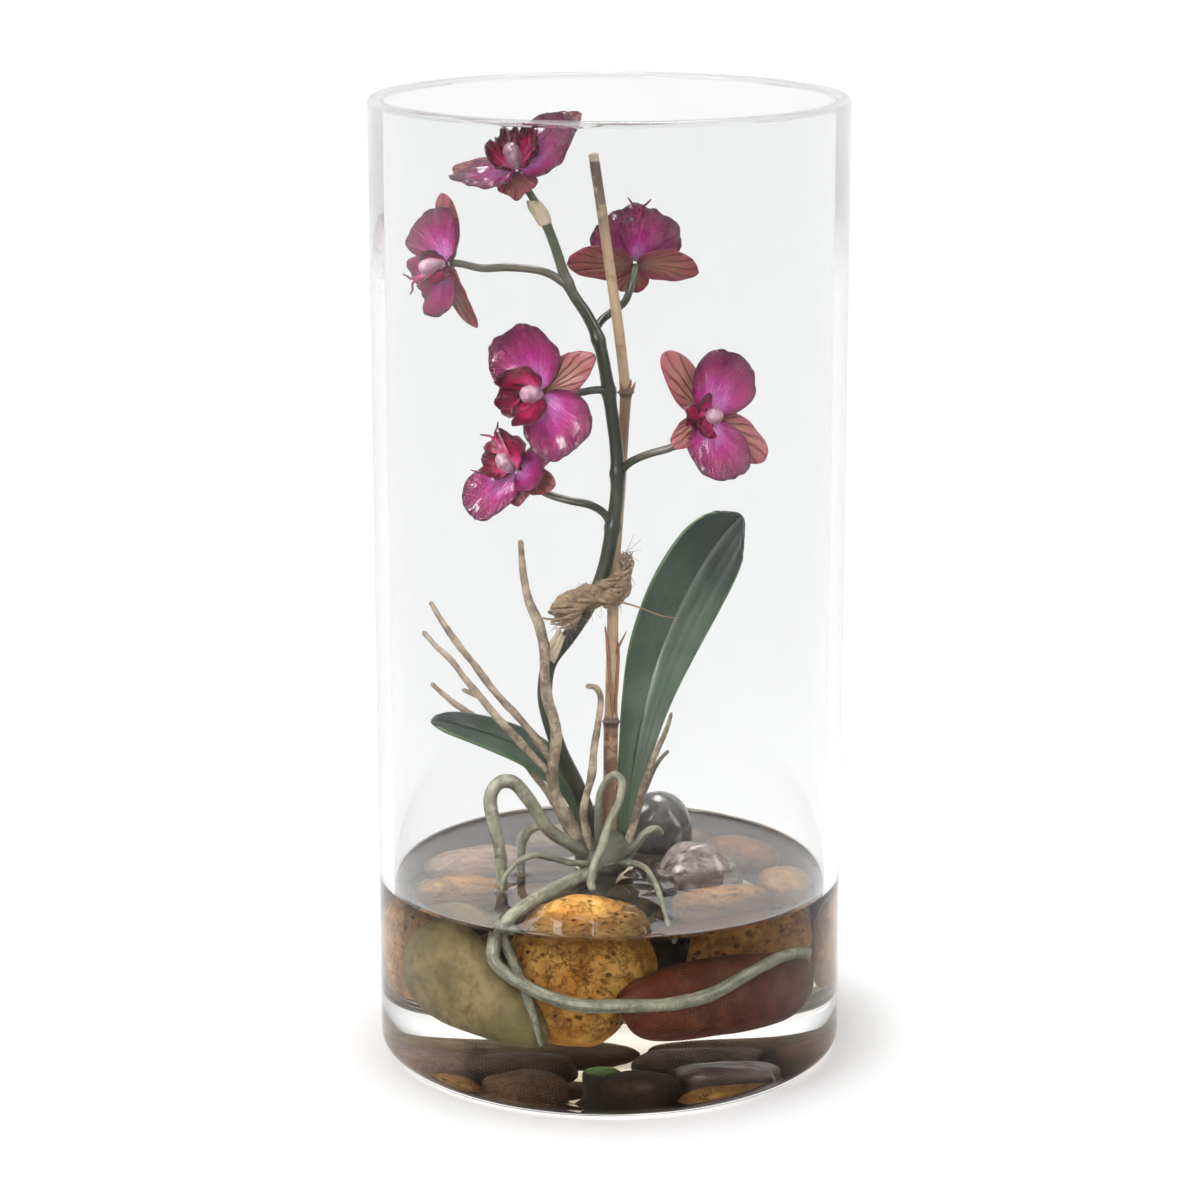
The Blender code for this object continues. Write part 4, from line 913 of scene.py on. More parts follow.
GREEN_ROOTS = [
    [(-3.8, 1, 51.5, 1.9), (-10.9, -3.4, 57.8, 1.85), (-16.9, -6, 62.9, 1.85), (-21.6, -8, 71.4, 1.85),
     (-25.9, -9.4, 76.9, 1.85), (-30.0, -10.6, 77.2, 1.8), (-32.2, -11.6, 73.2, 1.8),
     (-31.2, -12.4, 66.0, 1.75), (-29.6, -12.6, 58.0, 1.7), (-29.0, -12.6, 47.0, 1.5)],
    [(-17.7, -6, 64.0, 1.2), (-21.9, -5, 62.0, 1.2), (-24.0, -4, 56.8, 1.2), (-24.2, -3.6, 46.6, 1.0)],
    [(-3.4, -1.0, 51.6, 0.9), (-10.0, -8.0, 53.6, 0.9), (-16.0, -13, 56.8, 0.85),
     (-20.4, -16.4, 58.6, 0.8), (-25.2, -18.6, 57.0, 0.75), (-28.4, -19.6, 52.4, 0.7),
     (-29.4, -20.2, 46.2, 0.6)],
    [(-3.6, 0.6, 48.6, 2.2), (-8.6, -9, 49.4, 2.1), (-14.6, -20, 49.8, 2.0), (-21.4, -32.6, 50.0, 2.0),
     (-26.2, -41.6, 48.6, 1.95), (-29.0, -48.0, 44.2, 1.95), (-28.6, -49.8, 39.6, 1.9),
     (-20.6, -53.0, 34.6, 1.9), (-8.8, -56.0, 30.8, 1.9), (5.0, -56.4, 30.6, 1.9),
     (15.6, -54.4, 30.4, 1.9), (25.4, -50.8, 31.6, 1.85), (35.4, -44.4, 35.2, 1.8),
     (44.8, -34.8, 37.0, 1.7), (50.8, -25.4, 34.0, 1.3)],
    [(-26.6, -43.0, 47.6, 1.5), (-24.2, -47.6, 41.2, 1.4), (-21.4, -51.2, 33.6, 1.2),
     (-18.6, -54.4, 24.0, 0.9), (-17.4, -55.6, 18.6, 0.5)],
    [(-2.0, 0, 52.4, 1.25), (-2.8, -4.6, 60.4, 1.2), (-2.8, -6.6, 70.4, 1.15), (-1.5, -8, 76.0, 1.1),
     (1.3, -9, 79.1, 1.1), (3.4, -10, 77.0, 1.1), (2.4, -12, 72.0, 1.1), (-0.2, -14.4, 66.6, 1.15),
     (-2.0, -17.4, 61.6, 1.2), (-4.1, -20.4, 57.0, 1.2), (-5.0, -24.0, 53.4, 1.15),
     (-4.4, -28.0, 52.6, 1.0)],
    [(2.4, 0, 51.4, 1.1), (6.6, -3.4, 56.4, 1.05), (9.6, -5.4, 61.2, 1.0), (12.6, -5.0, 62.4, 0.95),
     (14.6, -3.0, 60.2, 0.8)],
    [(2.0, 0, 50.6, 1.0), (6.2, -8.0, 53.6, 0.9), (9.8, -14.4, 54.2, 0.8), (12.2, -22.0, 53.0, 0.7),
     (13.4, -30.0, 51.4, 0.65), (14.6, -38.0, 49.6, 0.6), (15.4, -44.0, 44.6, 0.5)],
    [(2.0, 8, 50.6, 1.0), (5.4, 12.6, 57.6, 0.85), (9.4, 13.6, 66.4, 0.75), (13.2, 12.4, 75.6, 0.65),
     (16.6, 11.0, 80.2, 0.5)],
]
CROWN = [(-1.5, 4.5, 19.4, 3.9), (-1.5, 4.5, 30.0, 4.0), (-1.5, 4.5, 40.0, 4.4),
         (-1.5, 4.4, 47.0, 6.6), (-1.5, 4.2, 52.0, 8.2), (-1.4, 4.2, 57.0, 7.8),
         (-1.2, 4.4, 60.0, 5.6)]
print("live roots:", len(GREEN_ROOTS), "dry roots:", len(TAN_ROOTS_LEFT + TAN_ROOT_MIDDLE + TAN_ROOT_RIGHT))


# %% Shape the roots
def make_roots(roots, size, sides=14):
    shape = new_shape()
    for index, root in enumerate(roots):
        add_tube(shape, root, sides, 0.55, knobbly(size, index + 1.0))
    return close_shape(shape)


# %% [markdown]
# ## Bark of the roots
# The dry roots are tan and knobbly. The live ones are pale green with a waxy skin, browner above the
# resin, and the crown's cut end is fresh green. Close round the crown's middle they carry painted shade.
# Both have the same rings and specks, so one function paints both in different colours.


# %% Paint and make the roots
def root_paint(name, dark, light, tone, rough):
    paint = Paint(name, Roughness=rough)
    patches = paint.patches(190, 0.36, 0.66, 4, 0.65)
    rings = paint.streaks(60, 5, 4, 0.65)
    colour = paint.coats(paint.mix(patches, dark, light), (paint.step(rings, 0.52, 0.72) * 0.55, tone),
                         (paint.specks(900, 0.30, 0.42) * 0.6, dimmed(dark, 0.35)))
    if name == "root_green":
        lines = paint.step(paint.streaks(7, 11), 0.44, 0.60)
        above_resin = paint.step(paint.height(), 0.048, 0.056)
        x, y = paint.along(paint.here(), 0), paint.along(paint.here(), 1) - CROWN[0][1] * MM
        off_axis = x * x + y * y
        cut_end = paint.fade(paint.height(), 0.0205, 0.0235) * paint.fade(off_axis, 0.00002, 0.00003)
        browner = paint.mix(patches, (0.075, 0.066, 0.040), (0.17, 0.15, 0.095))
        colour = paint.coats(colour, (lines * 0.6, (0.09, 0.092, 0.056)), (above_resin * 0.5, browner),
                             # painted shade: the live roots darken close round the crown's middle
                             (paint.fade(off_axis, 0.00002, 0.00018) * 0.8, (0.035, 0.035, 0.022)),
                             (cut_end, (0.17, 0.30, 0.09)))
    return paint.finished(colour, rings + paint.noise(600, 4, 0.65) * 0.8, 0.6, 0.9)


root_tan = root_paint("root_tan", (0.11, 0.070, 0.040), (0.32, 0.25, 0.165), (0.42, 0.36, 0.27), 0.7)
for node, roots in (("roots_left", TAN_ROOTS_LEFT), ("root_middle", TAN_ROOT_MIDDLE),
                    ("root_right", TAN_ROOT_RIGHT)):
    dress(node + "_dry", make_roots(roots, 0.28), node, "root_tan", root_tan)

root_green = root_paint("root_green", (0.13, 0.13, 0.08), (0.27, 0.27, 0.18), (0.38, 0.37, 0.28), 0.45)
crown_shape = make_roots([CROWN] + GREEN_ROOTS, 0.22, 18)
crown = dress("crown_and_roots", crown_shape, "root_crown", "root_green", root_green)
print("crown faces:", len(crown.data.polygons))

# %% [markdown]
# ## Blades
# Petals, leaves and husks are thin. A plane made thick by a Solidify modifier would end in a square cut.
# Here two fine grids lie either side of one curved surface and meet at the edge, so a blade is closed and
# thins out to a soft rim.


# %% Add a blade
def add_blade(shape, place, rows, cols, thickness, edge=0.10):
    """Add a thin closed blade. place(u, v) gives its middle surface in millimetres, v from -1 to 1."""
    tiny = 0.004
    for side in (1, -1):
        made = bmesh.ops.create_grid(shape, x_segments=rows, y_segments=cols, size=0.5, calc_uvs=True)
        for vert in made["verts"]:
            u, v = vert.co.x + 0.5, vert.co.y * 2
            inner_u, inner_v = min(max(u, 0.02), 0.98), min(max(v, -0.98), 0.98)
            along = place(inner_u + tiny, inner_v) - place(inner_u - tiny, inner_v)
            across = place(inner_u, inner_v + tiny) - place(inner_u, inner_v - tiny)
            inward = min(1.0, u / edge, (1 - u) / edge, (1 - abs(v)) / edge)
            depth = 0.5 * thickness * math.sqrt(max(0.0, 1 - (1 - inward) ** 2))
            vert.co = (place(u, v) + along.cross(across).normalized() * depth * side) * MM


# %% [markdown]
# ## Leaves
# The two leaves are moulded straps, folded along the middle and rounded at the tip. Each follows a traced
# spine with a width at every point. A drawn outline could be bent instead, but a spine with widths keeps
# the ribs running along the leaf.

# %% Shape the leaves
LEAVES = {
    "leaf_large": ([(4.2, 9.5, 55.5), (5.4, 10.6, 66.8), (7.4, 12, 80.3), (10.2, 14, 93.8),
                    (14.2, 17, 107.0), (20.2, 20, 120.4), (27.0, 22.6, 132.0), (33.0, 24.8, 139.4),
                    (37.4, 26.4, 143.4)],
                   [5.0, 7.5, 10.0, 14.0, 18.5, 21.0, 20.5, 17.0, 10.5], (0.15, -1.0, 0.25), 0.06),
    "leaf_small": ([(-5.6, 8.0, 58.0), (-9.4, 7.0, 68.6), (-15.4, 4.6, 76.6), (-22.0, 2.0, 82.4),
                    (-30.2, -1, 87.0), (-38.4, -4, 90.7), (-44.8, -6, 92.9), (-48.4, -7, 93.6)],
                   [5.0, 6.5, 9.0, 10.5, 10.5, 9.0, 6.5, 2.6], (-0.25, -0.75, 0.75), 0.12),
}


def leaf_place(spine, widths, facing, fold):
    path = [Vector(point) for point in smooth_path(spine, 16)]
    breadths = [pair[0] for pair in smooth_path([(width,) for width in widths], 16)]
    front = Vector(facing).normalized()

    def place(u, v):
        spot = min(max(u, 0.0), 1.0) * (len(path) - 1)
        index = min(int(spot), len(path) - 2)
        share = spot - index
        point = path[index].lerp(path[index + 1], share)
        near = path[min(index + 2, len(path) - 1)] - path[max(index - 1, 0)]
        tangent = near.normalized()
        width = breadths[index] * (1 - share) + breadths[index + 1] * share
        side = tangent.cross(front).normalized()
        normal = side.cross(tangent).normalized()
        round_tip = 1.2 * v * v * u ** 8 * width * 0.4
        bow = fold * width * abs(v) ** 1.5 + 0.03 * math.cos(v * 26) - 0.35 * math.exp(-(v / 0.07) ** 2)
        wave = 0.35 * ripple(u * 5, v * 1.5, 3.0)
        return point + side * (0.5 * width * v) + normal * (bow + wave) - tangent * round_tip
    return place


# %% [markdown]
# ## Skin of the leaves
# The plastic is satin and dark green, darker toward the tip, with a pale thin edge and fine ribs. All of
# these follow the blade's own UV map, so they bend with the leaf.


# %% Make the leaves
def leaf_paint():
    paint = Paint("leaf_green", Roughness=0.38, Specular_IOR_Level=0.3)
    u, aside = paint.uv(0), paint.size(paint.uv(1) - 0.5)
    ribs, middle = paint.streaks(2, 16, 4), paint.fade(aside, 0.004, 0.030)
    colour = paint.coats(
        paint.mix(paint.patches(60, 0.35, 0.65), (0.042, 0.062, 0.043), (0.075, 0.10, 0.068)),
        (paint.step(u, 0.42, 0.85) * 0.95, (0.008, 0.013, 0.009)),
        (paint.step(ribs, 0.48, 0.75) * 0.18, (0.10, 0.125, 0.09)),
        (paint.step(aside, 0.465, 0.49) * 0.7, (0.10, 0.16, 0.06)),
        (paint.fade(u, 0.02, 0.3) * 0.6, (0.10, 0.15, 0.07)),
        (middle * 0.5, (0.020, 0.032, 0.020)))
    return paint.finished(colour, ribs - middle * 0.4, 0.2, 0.15)


leaf_green = leaf_paint()
for node, (spine, widths, facing, fold) in LEAVES.items():
    shape = new_shape()
    add_blade(shape, leaf_place(spine, widths, facing, fold), 110, 36, 1.2)
    dress(node + "_strap", close_shape(shape), node, "leaf_green", leaf_green)
print("leaves:", len(LEAVES))

# %% [markdown]
# ## Papery sheaths
# Two dry scales wrap the spike at its joints. They are thin, torn at the upper edge and lighter than the
# stem. Each is a blade bent round the spike's own path, so it hugs the stem wherever the stem leans.


# %% Make the sheaths
def path_point(path, height):
    """The centre and direction of an upright path at a height, in millimetres."""
    for lower, upper in zip(path, path[1:]):
        if lower[2] <= height <= upper[2]:
            start, end = Vector(lower[:3]), Vector(upper[:3])
            share = (height - lower[2]) / (upper[2] - lower[2])
            return start.lerp(end, share), (end - start).normalized()
    return Vector(path[-1][:3]), Vector((0, 0, 1))


def sheath_place(height, length, radius, half_turn, aside):
    def place(u, v):
        tear = 1.0 + (0.30 * ripple(v * 4.0, height) + 0.18 * ripple(v * 13.0, height, 3)) * u
        centre, tangent = path_point(SPIKE, height + length * u * tear)
        side = tangent.cross(Vector((0, -1, 0))).normalized()
        front = side.cross(tangent).normalized()
        turn = math.radians(half_turn * v * (1 - 0.55 * u) + aside)
        crumple = 0.3 * ripple(u * 3, v * 4, height)
        return centre + (side * math.sin(turn) + front * math.cos(turn)) * (radius + 0.5 * u + crumple)
    return place


def sheath_paint():
    paint = Paint("husk_beige", Roughness=0.7)
    fibres = paint.streaks(3, 24, 4)
    colour = paint.mix(fibres, (0.26, 0.18, 0.11), (0.60, 0.50, 0.38))
    colour = paint.mix(paint.patches(300, 0.55, 0.7, 2, 0.5) * 0.5, colour, (0.30, 0.13, 0.10))
    return paint.finished(colour, fibres, 0.3, 0.8)


husk = sheath_paint()
for node, height, length, radius, half_turn, aside in (("sheath_low", 110.0, 6.5, 2.7, 72, -52),
                                                       ("sheath_top", 229.0, 7.5, 1.7, 100, -15)):
    shape = new_shape()
    add_blade(shape, sheath_place(height, length, radius, half_turn, aside), 26, 30, 0.7)
    dress(node + "_paper", close_shape(shape), node, "husk_beige", husk)
print("sheaths: 2")

# %% [markdown]
# ## Path of the twine
# Coarse jute twine is wound twice round the spike and the cane and knotted in front. Its rings are worked
# out from the places of spike and cane at that height, so they can't miss them, and its free ends are
# traced.

# %% Wind the twine
TIE_HEIGHT, TIE_PITCH, TIE_RADIUS = 127.0, 1.8, 1.1
STAKE_REACH, STEM_REACH = 2.2, 3.6
# Free ends of the knot, and how far each frays.
TIE_ENDS = [
    ([(-2.0, -7.2, 129.6, 1.5), (-5.2, -8.6, 130.4, 1.8), (-9.0, -9.0, 129.4, 1.9),
      (-12.2, -9.0, 126.4, 1.9), (-13.6, -8.8, 121.6, 1.8)], 1.1),
    ([(-3.0, -8.0, 128.4, 1.4), (-6.4, -9.6, 128.0, 1.6), (-9.6, -9.6, 125.0, 1.6),
      (-11.4, -9.2, 120.6, 1.5)], 1.0),
    ([(-4.4, -8.1, 128.2, 1.4), (-0.4, -8.8, 129.0, 1.7), (2.8, -8.0, 131.4, 1.6), (4.6, -6.6, 135.6, 1.3),
      (4.2, -6.0, 140.6, 1.2)], 0.7),
    ([(-3.4, -7.4, 131.4, 1.2), (0.2, -8.2, 132.8, 1.3), (3.2, -7.4, 134.6, 1.2), (4.8, -6.4, 131.0, 1.1),
      (2.6, -7.2, 127.4, 1.1), (-1.8, -8.0, 126.6, 1.1)], 0.0),
]


def tie_ring(height):
    """The loop round cane and spike at a height."""
    stem_spot, cane_spot = path_point(SPIKE, height)[0], path_point(STAKE, height)[0]
    along = Vector((cane_spot.x - stem_spot.x, cane_spot.y - stem_spot.y, 0)).normalized()
    across = Vector((-along.y, along.x, 0))
    ring = []
    for centre, sign, reach in ((cane_spot, 1, STAKE_REACH), (stem_spot, -1, STEM_REACH)):
        for step in range(5):
            angle = math.radians(-80 + 40 * step)
            offset = along * (sign * math.cos(angle)) + across * (sign * math.sin(angle))
            spot = centre + offset * (reach + TIE_RADIUS)
            ring.append((spot.x, spot.y, height + 0.3 * (spot.x + 2), TIE_RADIUS))
    return ring + ring[:2]


# %% [markdown]
# ## Strands and fibres
# A plain tube with a bump would look like plastic cord. So each length is a bundle of thin strands that
# twist together and fray at the end, and loose fibres stand out all over it. The chances are seeded, so
# every run gives the same twine.


# %% Twist a rope
def add_rope(shape, path, strands, pitch, fray, seed):
    """A bundle of strands that twist round a path and spread apart at its end."""
    chance = random.Random(seed)
    spots, length = even_path(path, 0.7)
    centres = [Vector(spot[:3]) for spot in spots]
    frames = carried_frames(centres)
    for strand in range(strands):
        layer = 0.35 if strand % 3 == 0 else 0.78
        start, wild = math.tau * strand / strands * 2.3, chance.uniform(0.6, 1.5)
        points = []
        for index, (centre, (across, around)) in enumerate(zip(centres, frames)):
            share = index / (len(centres) - 1)
            wobble = 0.5 * noise.noise(centre * 0.4 + Vector((0, 0, strand)))
            turn = start + math.tau * share * length / pitch + wobble
            reach = spots[index][3] * layer * (1 + fray * wild * max(0.0, share - 0.45) ** 1.5 * 4)
            reach *= 1 + 0.35 * noise.noise(centre * 0.5 + Vector((strand * 3.0, 0, seed)))
            thick = spots[index][3] * (0.34 if share < 0.7 or not fray else 0.34 - 0.75 * (share - 0.7))
            points.append((*(centre + (across * math.cos(turn) + around * math.sin(turn)) * reach), thick))
        add_tube(shape, points, 7, 0.5)


def add_fibres(shape, paths, count, seed):
    """Loose fibres that leave the twine at random places and curl away."""
    chance = random.Random(seed)
    for number in range(count):
        path = chance.choice(paths)
        start = Vector(chance.choice(path)[:3])
        away = Vector((chance.uniform(-1, 1), chance.uniform(-1.2, 0.2), chance.uniform(-1, 1))).normalized()
        bend = Vector((chance.uniform(-1, 1), chance.uniform(-1, 0.5), chance.uniform(-1, 1))) * 0.8
        reach = chance.uniform(2.0, 6.0)
        fibre = []
        for step in range(5):
            share = step / 4
            spot = start + away * reach * share + bend * reach * share * share * 0.5
            fibre.append((*spot, 0.085 - 0.045 * share))
        add_tube(shape, fibre, 5, 0.6)


# %% [markdown]
# ## The tie
# Jute is dull and brown, with dark and pale fibres side by side. The rings, the free ends and one long
# stray thread become a single piece.


# %% Make the twine
def make_tie():
    shape = new_shape()
    rings = [tie_ring(TIE_HEIGHT + TIE_PITCH * turn) for turn in range(2)]
    for number, (path, fray) in enumerate([(ring, 0.0) for ring in rings] + TIE_ENDS):
        add_rope(shape, path, 12, 9.0, fray, number)
    ends = [path for path, fray in TIE_ENDS]
    add_fibres(shape, rings + ends * 2, 150, 4)
    add_tube(shape, [(2.0, -8.0, 127.6, 0.3), (8.0, -9.0, 126.0, 0.24), (14.0, -8.6, 123.6, 0.2),
                     (18.6, -8.0, 122.8, 0.1)], 8, 0.6)
    return close_shape(shape)


def tie_paint():
    paint = Paint("twine", Roughness=0.85)
    fibres = paint.streaks(30, 30, 4, 0.7)
    colour = paint.mix(paint.step(fibres, 0.36, 0.62), (0.09, 0.048, 0.024), (0.43, 0.28, 0.16))
    colour = paint.mix(paint.patches(900, 0.48, 0.62) * 0.55, colour, (0.09, 0.048, 0.025))
    return paint.finished(colour, fibres, 0.4)


tie = dress("jute_tie", make_tie(), "twine_tie", "twine", tie_paint())
print("tie faces:", len(tie.data.polygons))

# %% [markdown]
# ## Shape of a petal
# The blooms are moth orchids cast in a soft, slightly glossy material. A petal could be cut from a flat
# sheet, but its veins run out from its claw like a fan. So a petal is a fan of rays that reach a full
# oval, and noise along the rays gives it pleats and a frilled rim.


# %% Shape of one petal
CLAW_START = 0.6


def fan(length, width, lift, seed, cup, frill, pleat, point=0.0, reach=86, ragged=0.07):
    """A petal along +X that faces +Z: a full oval that touches its own claw, frilled toward the rim."""
    half_long, half_wide = length / 2, width / 2

    def place(u, v):
        turn = math.radians(reach) * v
        c, s = math.cos(turn), math.sin(turn)
        far = 2 * half_long * half_wide ** 2 * c / ((half_wide * c) ** 2 + (half_long * s) ** 2)
        far *= 1 + point * math.exp(-(turn / 0.3) ** 2) + 0.15 * ripple(v * 2.3, seed, 0.5)
        far *= 1 + ragged * (ripple(v * 5.0, seed, 7.5) + 0.4 * ripple(v * 15.0, seed, 9.5))
        x, y = far * u * c, far * u * s
        run = x / length
        rise = lift * length * abs(run) ** 1.7 + cup * abs(y) ** 2 / half_wide * min(1.0, run * 2.5)
        rise += frill * u ** 3 * ripple(v * 3.2, seed, 2.5) * 1.9
        rise += 0.7 * frill * u ** 6 * ripple(v * 9.0, seed, 5.5)
        rise += pleat * ripple(v * 6.0, seed, u * 1.2) * u * (1.2 - 0.5 * u) * 2
        rise += 0.35 * ripple(x * 0.25, y * 0.25, seed)
        return Vector((CLAW_START + x * (1 - 0.35 * lift * lift * run), y, rise))
    return place


def turned_place(place, spin, level, roll=0):
    turn = Euler((math.radians(roll), 0, math.radians(spin))).to_matrix()
    return lambda u, v: turn @ place(u, v) + Vector((0, 0, level))


def bloom_frame(centre, facing, scale):
    """Matrix of a bloom: local Z is the way it faces, and local X is level."""
    normal = Vector(facing).normalized()
    level = Vector((0, 0, 1)).cross(normal).normalized()
    turn = Matrix((level, normal.cross(level), normal)).transposed().to_4x4()
    return Matrix.Translation(Vector(centre) * MM) @ turn @ Matrix.Scale(scale, 4)


# %% [markdown]
# ## Colours of the petals
# The petals are magenta with a violet-pink heart and a darker rim. Their veins follow the rays, and
# patches of thin gloss give them the small glints of a moulded flower. Fine light streaks toward the
# heart are painted glints.


# %% Material of the petals
def petal_paint():
    paint = Paint("petal_magenta", Roughness=0.22, Specular_IOR_Level=0.3, Coat_Roughness=0.12)
    u = paint.uv(0)
    streaks, wide, fine = paint.streaks(1.8, 18, 5), paint.streaks(1.5, 6), paint.streaks(2.5, 42, 4)
    heart_to_rim = paint.ramp(u + (wide - 0.5) * 0.6 + (streaks - 0.5) * 0.4, [
        (0.0, (0.62, 0.30, 0.56)), (0.26, (0.50, 0.11, 0.38)), (0.46, (0.34, 0.006, 0.16)),
        (0.72, (0.20, 0.001, 0.062)), (1.0, (0.08, 0.001, 0.024))])
    veins = paint.fade(paint.size(paint.streaks(2.2, 13, 4) - 0.5), 0.004, 0.030)
    colour = paint.coats(
        heart_to_rim,
        # painted highlight: fine light streaks toward the heart stand in for glints
        (paint.step(fine, 0.54, 0.66) * paint.fade(u, 0.4, 0.95) * 0.5, (0.60, 0.17, 0.44)),
        (paint.fade(fine, 0.36, 0.47) * 0.45, (0.12, 0.001, 0.05)),
        (paint.step(streaks, 0.55, 0.70) * paint.fade(u, 0.35, 0.8) * 0.45, (0.62, 0.22, 0.50)),
        (veins * 0.45, (0.12, 0.003, 0.06)),
        (paint.specks(1300, 0.30, 0.40) * 0.4, (0.10, 0.003, 0.04)),
        (paint.step(u, 0.93, 0.985) * 0.7, (0.05, 0.001, 0.018)))
    paint.feed("Coat Weight", paint.patches(320, 0.50, 0.58, 3, 0.6, 0.6) * 0.8)
    wrinkles = paint.noise(420, 4, 0.65) * 0.7
    return paint.finished(colour, streaks + fine * 0.6 + wrinkles + paint.noise(1200, 2, 0.5) * 0.4, 1.1)


# %% [markdown]
# ## Colours of the sepals
# The narrow sepals behind the petals are dull coral and tan with dark lengthwise veins. A plain stripe
# pattern would look ruled, so the stripes wander, and a faint net lies between them.


# %% Material of the sepals
def sepal_paint():
    paint = Paint("sepal_coral", Roughness=0.42, Specular_IOR_Level=0.3)
    u, v = paint.uv(0), paint.uv(1)
    wander = (paint.streaks(3, 5) - 0.5) * 0.07
    veins = paint.fade(paint.size(paint.sine((v + wander) * 50)), 0.12, 0.55)
    net = paint.fade(paint.cells(1.0, "DISTANCE_TO_EDGE", paint.vector(u * 5, v * 9)), 0.01, 0.06)
    middle = paint.fade(paint.size(v - 0.5) + (paint.streaks(2, 6) - 0.5) * 0.4, 0.06, 0.30)
    fading = 1 - paint.step(u, 0.65, 1.0) * 0.5
    colour = paint.coats(
        (0.21, 0.034, 0.048),
        (middle * 0.8, (0.26, 0.125, 0.072)),
        (paint.step(u, 0.5, 1.0) * 0.7, (0.22, 0.026, 0.055)),
        (paint.patches(420, 0.45, 0.60, 4, 0.65) * 0.45, (0.24, 0.04, 0.045)),
        (veins * fading * 0.9, (0.09, 0.010, 0.012)),
        (net * 0.12, (0.17, 0.025, 0.022)))
    return paint.finished(colour, paint.streaks(2, 18) - veins * 0.4, 0.9)


# %% [markdown]
# ## Colours of the lip and the column
# The lip is deep crimson, nearly black at its frills, and spotted near its heart. The column over it is
# milky pink and smooth, which makes it the brightest point of a bloom.


# %% Materials of the lip and the column
def lip_paint():
    paint = Paint("lip_crimson", Roughness=0.2, Specular_IOR_Level=0.45, Coat_Weight=0.15,
                  Coat_Roughness=0.1)
    u, streaks = paint.uv(0), paint.streaks(2, 12, 4)
    heart_to_frill = paint.ramp(u + (streaks - 0.5) * 0.4 + (paint.noise(260, 3, 0.6) - 0.5) * 0.9, [
        (0.0, (0.62, 0.20, 0.38)), (0.25, (0.54, 0.03, 0.17)), (0.5, (0.36, 0.006, 0.065)),
        (0.75, (0.13, 0.002, 0.020)), (1.0, (0.045, 0.001, 0.010))])
    spots = paint.fade(paint.cells(800), 0.18, 0.36) * paint.fade(u, 0.2, 0.5)
    colour = paint.mix(spots * 0.8, heart_to_frill, (0.20, 0.004, 0.03))
    return paint.finished(colour, streaks + paint.noise(330, 3, 0.6), 1.0)


def column_paint():
    paint = Paint("column_pale", Roughness=0.28, Coat_Weight=0.3)
    colour = paint.coats(
        (0.33, 0.19, 0.235),
        (paint.patches(420, 0.42, 0.66), (0.22, 0.085, 0.135)),
        (paint.specks(1500, 0.30, 0.38, 2, 0.5) * 0.4, (0.34, 0.06, 0.16)))
    return paint.finished(colour, paint.noise(520, 4, 0.6), 0.6, 0.8)


looks = {"sepal_coral": sepal_paint(), "petal_magenta": petal_paint(), "lip_crimson": lip_paint(),
         "column_pale": column_paint()}
print("bloom materials:", len(looks))

# %% [markdown]
# ## Put each bloom together
# Three sepals lie behind two broad petals, and in front stands the frilled lip with the column over it.
# One bloom could be copied six times, but real ones differ. So one function makes a bloom from its
# centre, the way it faces and the angles of its parts, and every bloom has its own seed.


# %% Make the blooms
# How a sepal, a petal and a lobe of the lip are curved and frilled.
SEPAL = {"cup": -0.05, "frill": 0.6, "pleat": 0.12, "point": 0.10, "reach": 84}
PETAL = {"cup": 0.16, "frill": 1.0, "pleat": 0.42}
LOBE = {"cup": 0.3, "frill": 2.6, "pleat": 0.7, "reach": 84, "ragged": 0.14}
# Lobes of the lip as (side, length, width, bend), the column as (height, forward, radius) and a whisker as
# (share of its reach, aside, height, radius).
LIP_LOBES = ((0, 9.8, 7.8, 0.5), (-58, 9.0, 7.8, 0.8), (58, 9.0, 7.8, 0.8))
COLUMN = ((-1.6, 0, 1.6), (0, 0, 1.5), (1.8, -0.2, 1.8), (3.4, 0.3, 2.3), (4.9, 1.2, 2.2), (6.2, 2.1, 1.8))
WHISKER = ((0.55, 0.1, 4.6, 0.7), (0.75, 0.2, 6.2, 0.5), (0.92, 0.8, 7.4, 0.38), (1.05, 2.2, 7.2, 0.3),
           (1.1, 3.4, 8.4, 0.2))
PETAL_LEVEL, LIP_LEVEL, COLUMN_LEVEL, LAYER_STEP = 1.2, 2.4, 3.35, 0.07


def blades(parts, rows, cols, thickness):
    """Several blades of one bloom in one bmesh."""
    shape = new_shape()
    for place in parts:
        add_blade(shape, place, rows, cols, thickness)
    return shape


